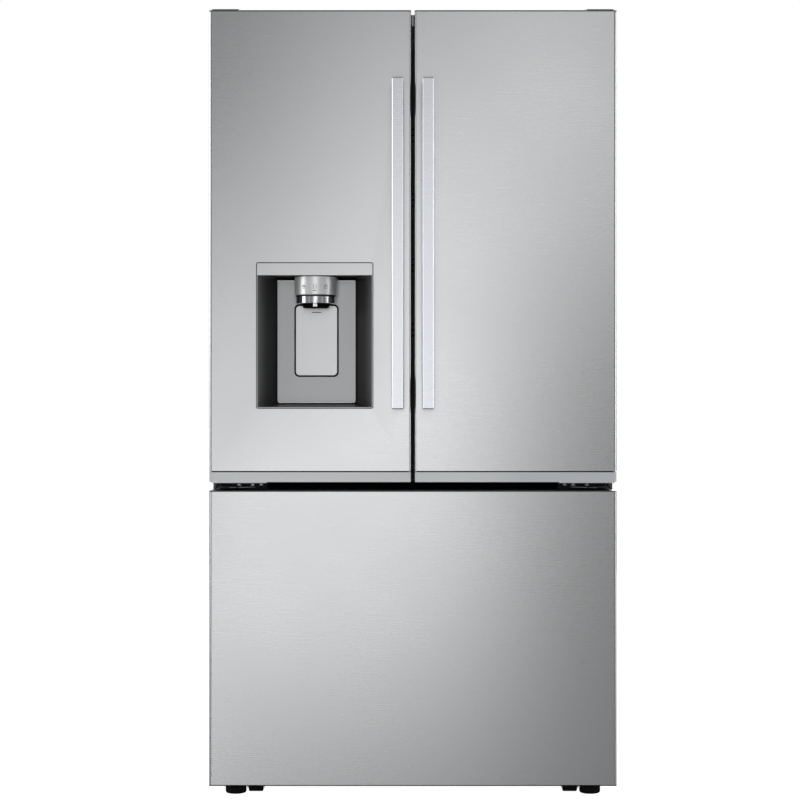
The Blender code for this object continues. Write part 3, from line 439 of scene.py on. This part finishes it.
def turned(profile, centre, axis="Z", steps=48):
    """A solid turned round an axis: the profile is (radius, distance along the axis) pairs."""
    loops = []
    for radius, along in profile:
        loop = []
        for k in range(steps):
            a = 2 * math.pi * k / steps
            u, v = max(radius, 1e-5) * math.cos(a), max(radius, 1e-5) * math.sin(a)
            offset = {"X": (along, u, v), "Y": (v, along, u), "Z": (u, v, along)}[axis]
            loop.append(tuple(c + o for c, o in zip(centre, offset)))
        loops.append(loop)
    return loft(loops)


def piece(name, shape, surface, body, bevel=0.0, segments=3, replaces=()):
    """Makes one mesh piece at its place, with its material, that rides on a body."""
    mesh = bpy.data.meshes.new(name)
    mesh.from_pydata(shape[0], [], shape[1])
    mesh.validate()
    obj = bpy.data.objects.new(name, mesh)
    bpy.context.scene.collection.objects.link(obj)
    mesh.materials.append(MATERIALS[surface])
    soften(obj, bevel, segments)
    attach(obj, body)
    if replaces:
        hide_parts(*replaces)
    return obj


# CAD nodes

SURFACE = {row["node"]: row["material_slot"] for row in frame["record"]["subparts"]}
SURFACE["dispenser_back_plate"] = "stainless_upright"
# Legs, rollers and the divider rail are real black parts; their deep black is partly painted shade for where
# they sit.
for side_name in ("left", "right"):
    SURFACE[f"{side_name}_levelling_leg"] = "deep_black"
    SURFACE[f"{side_name}_front_roller"] = "deep_black"
SURFACE["divider_rail"] = "deep_black"

# Bevel widths on the nodes; a skin has its own rounds, so it takes none.
USUAL_EDGE = 0.0006
EDGE = {
    "cabinet_wrapper": 0.0012, "left_door_skin": 0.0, "right_door_skin": 0.0, "drawer_skin": 0.0,
    "left_handle": 0.0024, "right_handle": 0.0024, "cabinet_foam": 0.0, "condenser_fan": 0.0004,
}
for node_name, node in NODES.items():
    node.data.materials.clear()
    node.data.materials.append(MATERIALS[SURFACE[node_name]])
    soften(node, EDGE.get(node_name, USUAL_EDGE))


# Dispenser

bezel_low, bezel_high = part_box("dispenser_bezel")
head_low, head_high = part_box("dispenser_head")
recess_low, recess_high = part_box("dispenser_recess")
plate_low, plate_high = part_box("dispenser_back_plate")
paddle_low, paddle_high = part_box("dispenser_paddle")
DX = (paddle_low.x + paddle_high.x) / 2
HEAD_RADIUS = 0.0475
HEAD_Y = head_low.y + HEAD_RADIUS
GROOVE_Z = 1.1340
RING_TOP, RING_LOW = 1.1307, 1.1150
NOZZLE_HALF, NOZZLE_LOW = 0.0047, 1.1075
NOZZLE_FRONT, NOZZLE_BACK = -0.3190, -0.3090
BOWL_WALL = 0.0016
BOWL_STEPS = 10
ICON_PITCH, ICON_WIDTH, ICON_HEIGHT, ICON_Z = 0.0256, 0.0068, 0.0086, 1.1475
ICON_LINE = 0.0006
TRIM_GAP, TRIM_WIDTH, BAR_HEIGHT = 0.0011, 0.0019, 0.0287
LIP_LOW, LIP_TOP, STRIP_LOW = 1.1662, 1.1694, 1.1697
HEAD_CLEARANCE = 0.0490


def recess_shell():
    """The dark bowl between the bezel and the back plate, with walls that curve in towards the plate."""
    rim, skirt = 0.0018, 0.0012
    mouth = (recess_low.x + rim, recess_high.x - rim, recess_low.z + rim, recess_high.z - rim)
    back = (plate_low.x - skirt, plate_high.x + skirt, plate_low.z - skirt, plate_high.z + skirt)
    pocket = (paddle_low.x - 0.006, paddle_high.x + 0.006, paddle_low.z - 0.008, paddle_high.z + 0.004)
    y0, y1 = recess_low.y, plate_high.y + 0.0003
    rows = []
    for grow in (0.0, BOWL_WALL):
        line = []
        for k in range(BOWL_STEPS + 1):
            t = k / BOWL_STEPS
            bend = t - 0.16 * t * (1 - t)
            u0, u1 = (m + (b - m) * bend for m, b in zip(mouth[:2], back[:2]))
            v0, v1 = (m + (b - m) * t for m, b in zip(mouth[2:], back[2:]))
            outline = rounded(u0 - grow, u1 + grow, v0 - grow, v1 + grow, 0.005 + 0.003 * t)
            line.append(upright(outline, y0 + (y1 - y0) * t + grow * t))
        hole = rounded(pocket[0] - grow, pocket[1] + grow, pocket[2] - grow, pocket[3] + grow, 0.011)
        line.append(upright(hole, y1 + grow))
        line.append(upright(hole, recess_high.y - BOWL_WALL + grow))
        rows.append(line)
    return loft(rows[0][::-1] + rows[1])


def head_outline(radius, back, steps=72):
    """A circle of this radius round the head's middle, cut straight at its back."""
    reach = math.degrees(math.asin(min((back - HEAD_Y) / radius, 0.98)))
    points = []
    for k in range(steps + 1):
        a = math.radians(180 - reach + (180 + 2 * reach) * k / steps)
        points.append((DX + radius * math.cos(a), HEAD_Y + radius * math.sin(a)))
    return points


def head_part(levels):
    """A layer of the head from (radius, height) pairs."""
    return loft([flat(head_outline(r, head_high.y), z) for r, z in levels])


def icon_strip(u, v, width, height, radius=HEAD_RADIUS + 0.00018):
    """A small printed bar that lies on the round head: u sideways round it, v up, from its front middle."""
    loops = []
    for r in (radius, radius + 0.00012):
        for z in (v - height / 2, v + height / 2):
            row = []
            for k in range(5):
                a = (u + width * (k / 4 - 0.5)) / radius - math.pi / 2
                row.append((DX + r * math.cos(a), HEAD_Y + r * math.sin(a), z))
            loops.append(row)
    inner_low, inner_high, outer_low, outer_high = loops
    return loft([inner_low + inner_high[::-1], outer_low + outer_high[::-1]])


def touch_marks():
    """Three tumbler signs: an outline with its water line and a tick above, two with ice, one with a bar."""
    marks = []
    for u in (-ICON_PITCH, 0.0, ICON_PITCH):
        marks.append(icon_strip(u, ICON_Z, ICON_WIDTH, ICON_LINE))
        for side in (-1, 1):
            middle = ICON_Z + ICON_HEIGHT / 2
            marks.append(icon_strip(u + side * ICON_WIDTH / 2, middle, ICON_LINE, ICON_HEIGHT))
        marks.append(icon_strip(u, ICON_Z + ICON_HEIGHT * 0.62, ICON_WIDTH * 0.75, 0.0005))
        marks.append(icon_strip(u, ICON_Z + ICON_HEIGHT + 0.0022, 0.0009, 0.0014))
    for u, z, height in ((-0.0272, 1.1530, 0.0034), (-0.0242, 1.1522, 0.0030), (0.0254, 1.1530, 0.0034)):
        marks.append(icon_strip(u, z, 0.0014, height))
    marks.append(icon_strip(0.0, 1.1425, 0.0082, 0.0013))
    return merged(*marks)


def make_dispenser():
    piece("dispenser_bowl", recess_shell(), "bowl", "left_door", replaces=("dispenser_recess",))
    top, bottom = head_high.z, head_low.z
    body = head_part((
        (HEAD_RADIUS - 0.0006, top), (HEAD_RADIUS, top - 0.0006), (HEAD_RADIUS, GROOVE_Z + 0.0008),
        (HEAD_RADIUS - 0.0003, GROOVE_Z + 0.0002), (HEAD_RADIUS - 0.0012, GROOVE_Z),
        (HEAD_RADIUS - 0.006, GROOVE_Z - 0.0002),
    ))
    piece("dispenser_head_body", body, "head_metal", "left_door", replaces=("dispenser_head",))
    neck = HEAD_RADIUS - 0.0026
    seam = head_part(((neck, GROOVE_Z - 0.0001), (neck, RING_TOP - 0.0002)))
    piece("dispenser_head_seam", seam, "black", "left_door")
    ring = head_part((
        (0.0420, RING_TOP), (0.0440, RING_TOP - 0.0001), (0.0446, RING_TOP - 0.0008),
        (0.0446, RING_LOW + 0.0010), (0.0442, RING_LOW + 0.0003), (0.0430, RING_LOW),
        (0.0400, RING_LOW - 0.0001),
    ))
    piece("dispenser_head_ring", ring, "chrome", "left_door")
    under = head_part((
        (0.0398, RING_LOW - 0.0002), (0.0300, RING_LOW - 0.0006),
        (0.0296, bottom + 0.0030), (0.0280, bottom + 0.0004), (0.0270, bottom),
    ))
    piece("dispenser_head_underside", under, "deep_black", "left_door")
    x0, x1 = DX - NOZZLE_HALF, DX + NOZZLE_HALF
    steps = (
        (0.0, RING_LOW + 0.0005), (0.0, NOZZLE_LOW + 0.0005), (0.0005, NOZZLE_LOW),
        (0.0022, NOZZLE_LOW), (0.0024, NOZZLE_LOW + 0.002),
    )
    nozzle = loft([
        flat(rounded(x0 + i, x1 - i, NOZZLE_FRONT + i, NOZZLE_BACK - i, 0.0012), z) for i, z in steps
    ])
    piece("dispenser_nozzle", nozzle, "white", "left_door")
    piece("dispenser_touch_marks", touch_marks(), "ink", "left_door")


def framed(outer, inner, y0, y1, soft=0.0004):
    """A flat ring between two outlines of equal count, its front edges taken off by soft."""
    outside = [upright(outer, y) for y in (y1, y0 + soft, y0)]
    inside = [upright(inner, y) for y in (y0, y1)]
    return loft(outside + inside, ring=True)


def make_trim():
    """The bar, rim and painted seam shadow of the dispenser's mouth, and the strips on its back plate:
    painted shade under its ceiling, a lip, and a painted highlight along its foot.
    """
    low, high = bezel_low, bezel_high
    x0, x1, z0, z1 = low.x + TRIM_GAP, high.x - TRIM_GAP, low.z + TRIM_GAP, high.z - TRIM_GAP
    bar_low = high.z - BAR_HEIGHT
    steps = ((0.0, high.y), (0.0, low.y + 0.0008), (0.0003, low.y + 0.0002), (0.0009, low.y))
    bar = loft([upright(rounded(x0 + i, x1 - i, bar_low + i, z1 - i, 0.0032 - i), y) for i, y in steps])
    piece("dispenser_top_bar", bar, "plain_satin", "left_door", replaces=("dispenser_bezel",))
    rim = framed(
        rounded(x0, x1, z0, z1 - 0.006, 0.004),
        rounded(x0 + TRIM_WIDTH, x1 - TRIM_WIDTH, z0 + TRIM_WIDTH, bar_low + 0.001, 0.0025),
        low.y + 0.0007, high.y,
    )
    piece("dispenser_rim", rim, "rim_metal", "left_door")
    # A black ring behind the gap round the bar and rim: painted shadow in the seam.
    shadow = framed(
        rounded(low.x + 0.0001, high.x - 0.0001, low.z + 0.0001, high.z - 0.0001, 0.005),
        rounded(low.x + 0.0030, high.x - 0.0030, low.z + 0.0030, high.z - 0.0030, 0.004),
        low.y + 0.0026, high.y - 0.0002,
    )
    piece("dispenser_seam_shadow", shadow, "deep_black", "left_door")
    front = plate_low.y
    edge = 0.0004
    halves = ((plate_low.x + edge, DX - HEAD_CLEARANCE), (DX + HEAD_CLEARANCE, plate_high.x - edge))
    # Black blocks over the plate's top beside the head: painted shadow under the bowl's ceiling.
    cover = boxes(*[
        ((a, front - 0.0115, STRIP_LOW), (b, front - 0.0001, plate_high.z)) for a, b in halves
    ])
    piece("dispenser_ceiling_shade_strip", cover, "deep_black", "left_door", bevel=0.0006)
    lip = boxes(*[((a, front - 0.0125, LIP_LOW), (b, front - 0.0001, LIP_TOP)) for a, b in halves])
    piece("dispenser_plate_lip", lip, "plain_satin", "left_door", bevel=0.0007)
    # A strip of brighter metal along the plate's foot: painted highlight on the plate's lower edge.
    foot = boxes((
        (plate_low.x + 0.003, front - 0.0012, plate_low.z + 0.0003),
        (plate_high.x - 0.003, front + 0.0002, plate_low.z + 0.0022),
    ))
    piece("dispenser_plate_foot_highlight", foot, "head_metal", "left_door", bevel=0.0005)


def make_paddle():
    """The paddle's crowned face with its slit, filled with painted shade, and the switch on the bowl behind
    it.
    """
    low, high = paddle_low, paddle_high
    steps = (
        (0.0, high.y), (0.0, low.y + 0.0009), (0.0002, low.y + 0.0004), (0.0006, low.y + 0.0001),
        (0.0012, low.y),
    )
    face = loft([
        upright(rounded(low.x + i, high.x - i, low.z + i, high.z - i, 0.0090 - i, 10), y) for i, y in steps
    ])
    piece("dispenser_paddle_face", face, "plain_satin", "paddle", replaces=("dispenser_paddle",))
    slit_half, slit_height, slit_z = 0.0110, 0.0016, high.z - 0.0160
    outline = rounded(DX - slit_half, DX + slit_half, slit_z, slit_z + slit_height, 0.0006, 3)
    # A deep black fill in the slit: painted shade inside it.
    slit = loft([upright(outline, low.y + 0.0006), upright(outline, low.y - 0.0001)])
    piece("dispenser_paddle_slit_shade", slit, "deep_black", "paddle")
    tip, root = recess_high.y - 0.0180, recess_high.y - 0.0022
    profile = ((0.010, tip), (0.010, root - 0.002), (0.008, root))
    boss = turned(profile, (DX, 0.0, (low.z + high.z) / 2), "Y", 32)
    piece("dispenser_paddle_switch", boss, "black", "left_door")


make_dispenser()
make_trim()
make_paddle()


# Doors and drawer

GAP_LIP_FRONT, GAP_LIP_BACK, GAP_LIP_LOW, GAP_LIP_TOP = -0.2990, -0.2960, 0.7168, 1.7620


def make_door(side, body):
    """The painted shadow strip above a door's bottom cap, and the black rubber lip on its inner edge, whose
    black is painted shade for the gap between the doors.
    """
    low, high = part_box(f"{body}_skin")
    inner, outer = (high.x, low.x) if side < 0 else (low.x, high.x)
    x0, x1 = sorted((inner + side * 0.0045, outer - side * 0.0072))
    # Deep black strip on the cap's top edge: painted shadow of the groove above the cap.
    strip = boxes(((x0, low.y + 0.0002, low.z - 0.0028), (x1, low.y + 0.0018, low.z - 0.0001)))
    piece(f"{body}_shadow_strip", strip, "deep_black", body, bevel=0.0002)
    # The lip reaches into the gap between the doors; its black is painted shade for the gap.
    x0, x1 = sorted((inner - side * 0.0001, side * 0.0003))
    lip = boxes(((x0, GAP_LIP_FRONT, GAP_LIP_LOW), (x1, GAP_LIP_BACK, GAP_LIP_TOP)))
    piece(f"{body}_gap_shade_lip", lip, "seal", body, bevel=0.0006)


make_door(-1, "left_door")
make_door(1, "right_door")


def rail_along_x(x0, x1, y0, y1, z0, z1, radius=0.0012, soft=0.0006):
    """A rounded bar along X, its ends taken off by soft."""
    outline = rounded(y0, y1, z0, z1, radius, 3)
    inset = max(radius - soft, 0.0003)
    small = rounded(y0 + soft, y1 - soft, z0 + soft, z1 - soft, inset, 3)
    ends = ((x0, small), (x0 + soft, outline), (x1 - soft, outline), (x1, small))
    return loft([[(x, u, v) for u, v in section] for x, section in ends])


def make_drawer():
    """A deep black strip along the drawer skin's lower edge: painted shade on that edge."""
    low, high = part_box("drawer_skin")
    strip = rail_along_x(
        low.x + 0.0005, high.x - 0.0005, low.y - 0.0001, low.y + 0.012, low.z - 0.0002, low.z + 0.0022, 0.0004
    )
    piece("drawer_bottom_shade_strip", strip, "deep_black", "freezer_drawer")


# Middle hinges: screws, and bare zinc strips on the arm's front edge as painted highlight for that edge's
# glint, as (x, y) places on the right arm, mirrored for the left.
SCREW_PLACES = ((0.343, -0.2520), (0.362, -0.2585), (0.392, -0.2620))
SCREW_PROFILE = ((0.0062, 0.7056), (0.0062, 0.7066), (0.0044, 0.7068), (0.0044, 0.7092), (0.0036, 0.7098))
GLINT_RUNS = (((0.352, -0.2630), (0.392, -0.2880)), ((0.396, -0.2905), (0.412, -0.3000)))
GLINT_LOW, GLINT_TOP = 0.7014, 0.7028


def glint_section(x, y):
    front, back = y - 0.0002, y + 0.0012
    return [(x, front, GLINT_LOW), (x, front, GLINT_TOP), (x, back, GLINT_TOP), (x, back, GLINT_LOW)]


def make_middle_hinges():
    for side, name in ((-1, "left"), (1, "right")):
        screws = merged(*[turned(SCREW_PROFILE, (side * x, y, 0.0), "Z", 6) for x, y in SCREW_PLACES])
        piece(f"{name}_middle_hinge_screws", screws, "zinc", "cabinet")
        # Zinc strips on the black arm: painted highlight where its front edge catches the light.
        wear = merged(*[loft([glint_section(side * x, y) for x, y in run]) for run in GLINT_RUNS])
        piece(f"{name}_middle_hinge_glint", wear, "zinc", "cabinet", bevel=0.0003)
        x0, x1 = sorted((side * 0.4472, side * 0.4412))
        stop = boxes(((x0, -0.3020, 0.6975), (x1, -0.2860, 0.7130)))
        piece(f"{name}_middle_hinge_stop", stop, "dark_grey", "cabinet", bevel=0.0010)


# Inside

SLIDING = (("crisper_left", "left_crisper"), ("crisper_right", "right_crisper"), ("upper_tray", "tray"))
DOOR_BINS = (
    ("left_door_bin", "left_door"),
    ("right_door_bin_lower", "right_door"), ("right_door_bin_upper", "right_door"),
)
SLOT_HEIGHT = 0.0050
SLOT_ROWS = (1.060, 1.225, 1.390, 1.555)
SLOT_PITCH = 0.015


def make_shelves():
    """A metal trim on each glass shelf's front edge, and a raised stop at its rear."""
    for name in ("upper_shelf", "crisper_shelf"):
        low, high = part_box(name)
        x0, x1 = low.x + 0.0008, high.x - 0.0008
        trim = rail_along_x(x0, x1, low.y - 0.0030, low.y + 0.0100, low.z - 0.0015, high.z + 0.0015, 0.002)
        piece(f"{name}_trim", trim, "plain_satin", "cabinet")
        y0, y1 = high.y - 0.0100, high.y - 0.0004
        rear = rail_along_x(x0, x1, y0, y1, high.z - 0.0004, high.z + 0.0060, 0.002)
        piece(f"{name}_rear_stop", rear, "liner_white", "cabinet")


def make_grips():
    """White grips on the crispers and the tray, and metal rims on the door bins."""
    for name, body in SLIDING:
        low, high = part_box(name)
        grip = rail_along_x(
            low.x + 0.004, high.x - 0.004, low.y - 0.0015, low.y + 0.0060,
            high.z - 0.0170, high.z + 0.0012, 0.0025,
        )
        piece(f"{name}_grip", grip, "liner_white", body)
    for name, body in DOOR_BINS:
        low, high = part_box(name)
        rim = rail_along_x(
            low.x + 0.003, high.x - 0.003, high.y - 0.0045, high.y + 0.0012,
            high.z - 0.0120, high.z + 0.0010, 0.002,
        )
        piece(f"{name}_rim", rim, "plain_satin", body)


def make_lamp():
    steps = ((0.0, 1.6968), (0.0, 1.6945), (0.0010, 1.6928), (0.0035, 1.6918))
    lamp = loft([flat(rounded(-0.150 + i, 0.150 - i, 0.005 + i, 0.055 - i, 0.010), z) for i, z in steps])
    piece("ceiling_lamp", lamp, "lamp", "cabinet")


def slot(middle, half, face, z):
    """A dark slot bar let into a wall whose face looks to the front."""
    x0, x1 = middle - half, middle + half
    return rail_along_x(x0, x1, face - 0.0004, face + 0.0006, z, z + SLOT_HEIGHT, 0.0004)


def make_vents():
    """Air slots in the duct and in the evaporator's cover."""
    low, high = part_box("air_duct")
    middle = (low.x + high.x) / 2
    slots = [slot(middle, 0.045, low.y, z + k * SLOT_PITCH) for z in SLOT_ROWS for k in range(3)]
    piece("air_duct_vents", merged(*slots), "dark_grey", "cabinet")
    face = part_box("evaporator_cover")[0].y
    slots = [slot(x, 0.060, face, z) for x in (-0.24, 0.0, 0.24) for z in (0.600, 0.612, 0.624)]
    piece("evaporator_vents", merged(*slots), "dark_grey", "cabinet")


def make_basket_rims():
    low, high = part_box("drawer_basket")
    rims = [
        rail_along_x(low.x + 0.004, high.x - 0.004, y, y + 0.0050, high.z - 0.0100, high.z + 0.0012, 0.002)
        for y in (low.y - 0.0012, high.y - 0.0038)
    ]
    piece("drawer_basket_rims", merged(*rims), "liner_white", "freezer_drawer")


def make_ice_lid():
    """The ice compartment's lid with its latch and vents."""
    low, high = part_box("ice_compartment")
    back = high.y
    steps = ((0.0, back - 0.0002), (0.0, back + 0.0016), (0.0008, back + 0.0024), (0.0020, back + 0.0026))
    x0, x1, z0, z1 = low.x + 0.010, high.x - 0.010, low.z + 0.012, high.z - 0.012
    lid = loft([upright(rounded(x0 + i, x1 - i, z0 + i, z1 - i, 0.014), y) for i, y in steps])
    piece("ice_lid", lid, "liner_white", "left_door")
    steps = ((0.0, back + 0.0020), (0.0, back + 0.0056), (0.0010, back + 0.0064))
    x0, x1, z0, z1 = high.x - 0.036, high.x - 0.022, 1.4150, 1.4850
    latch = loft([upright(rounded(x0 + i, x1 - i, z0 + i, z1 - i, 0.004), y) for i, y in steps])
    piece("ice_lid_latch", latch, "plain_satin", "left_door")
    vents = [
        rail_along_x(low.x + 0.030, low.x + 0.110, back + 0.0020, back + 0.0029, z, z + 0.0040, 0.0004)
        for z in (1.590, 1.600, 1.610, 1.620)
    ]
    piece("ice_lid_vents", merged(*vents), "dark_grey", "left_door")


make_drawer()
make_middle_hinges()
make_shelves()
make_grips()
make_lamp()
make_vents()
make_basket_rims()
make_ice_lid()


# Stage

FLOOR_HALF = 60
FLOOR_GLOW = 0.94
WORLD_LIGHT = 0.20
SOFTBOX_Y = -5.9
SOFTBOX_SIZE = (0.9, 1.1)
# Soft boxes that together make the diagonal bright band on the steel: place across, height, power.
SOFTBOXES = (
    (-1.8, -1.1, 8.1), (-0.9, 0.0, 5.0), (-0.9, 1.1, 3.7), (0.0, 0.0, 3.8),
    (0.0, 1.1, 5.4), (0.0, 2.2, 3.1), (0.9, 2.2, 3.9), (0.9, 3.3, 2.6),
)
CAMERA_DISTANCE, CAMERA_HEIGHT, LENS = 4.5, 0.897, 91.02
SHIFT_X, SHIFT_Y = -0.0161, 0.0009


def area_light(name, place, aim, size, power):
    data = bpy.data.lights.new(name, "AREA")
    data.shape = "RECTANGLE"
    data.size, data.size_y = size
    data.energy = power
    obj = bpy.data.objects.new(name, data)
    obj.location = place
    obj.rotation_euler = (Vector(aim) - Vector(place)).to_track_quat("-Z", "Y").to_euler()
    bpy.context.scene.collection.objects.link(obj)
    return obj


def make_floor():
    """A plain pale floor, which the steel doesn't mirror and which doesn't block the low soft boxes."""
    h = FLOOR_HALF
    mesh = bpy.data.meshes.new("floor")
    mesh.from_pydata([(-h, -h, 0), (h, -h, 0), (h, h, 0), (-h, h, 0)], [], [(0, 1, 2, 3)])
    floor = bpy.data.objects.new("floor", mesh)
    bpy.context.scene.collection.objects.link(floor)
    glow = {"Emission_Color": (1, 1, 1, 1), "Emission_Strength": FLOOR_GLOW}
    pale = Shade("pale_floor", (0.50, 0.50, 0.50), 0.7, 0.0, **glow)
    pale.set("Roughness", pale.spread(pale.noise(pale.coords(), 3.0), 0.65, 0.75))
    mesh.materials.append(pale.material)
    floor.visible_glossy = False
    floor.visible_shadow = False


def make_world():
    """White behind the object, and a weaker, cooler light on it."""
    world = bpy.data.worlds.new("studio")
    world.use_nodes = True
    tree = world.node_tree
    tree.nodes.clear()
    kinds = ("OutputWorld", "Background", "Background", "MixShader", "LightPath")
    out, shown, lit, pick, path = (tree.nodes.new(f"ShaderNode{kind}") for kind in kinds)
    shown.inputs[0].default_value = (1, 1, 1, 1)
    shown.inputs[1].default_value = 1.0
    lit.inputs[0].default_value = (0.98, 0.99, 1.0, 1)
    lit.inputs[1].default_value = WORLD_LIGHT
    tree.links.new(path.outputs["Is Camera Ray"], pick.inputs[0])
    tree.links.new(lit.outputs[0], pick.inputs[1])
    tree.links.new(shown.outputs[0], pick.inputs[2])
    tree.links.new(pick.outputs[0], out.inputs[0])
    bpy.context.scene.world = world


def make_lights():
    for k, (x, z, power) in enumerate(SOFTBOXES):
        area_light(f"softbox_{k}", (x, SOFTBOX_Y, z), (x, 0.0, z), SOFTBOX_SIZE, power)
    overhead = area_light("overhead", (0.0, -0.6, 5.0), (0.0, -0.2, 0.0), (5.0, 5.0), 160.0)
    overhead.visible_glossy = False
    for side, label in ((-1, "left"), (1, "right")):
        area_light(f"edge_strip_{label}", (3.5 * side, -4.7, 1.1), (0.0, 0.0, 0.95), (0.30, 3.2), 1.5)
        area_light(f"oblique_fill_{label}", (6.0 * side, -2.2, 1.3), (0.0, 0.0, 0.9), (2.2, 3.0), 45.0)
    area_light("left_side", (-5.5, 0.5, 2.4), (0.0, 0.2, 0.9), (3.0, 3.0), 90.0)
    area_light("right_side", (5.5, 1.0, 2.2), (0.0, 0.2, 0.9), (3.0, 3.0), 60.0)
    area_light("behind", (0.5, 5.5, 2.2), (0.0, 0.0, 0.9), (3.0, 3.0), 110.0)


def make_camera():
    data = bpy.data.cameras.new("camera")
    data.sensor_width = 36
    data.lens = LENS
    data.shift_x = SHIFT_X
    data.shift_y = SHIFT_Y
    data.dof.use_dof = False
    obj = bpy.data.objects.new("camera", data)
    obj.location = (0.0, DOOR_FRONT_Y - CAMERA_DISTANCE, CAMERA_HEIGHT)
    obj.rotation_euler = (math.radians(90), 0, 0)
    bpy.context.scene.collection.objects.link(obj)
    bpy.context.scene.camera = obj


make_floor()
make_world()
make_lights()
make_camera()
bpy.context.scene.view_settings.view_transform = "Standard"
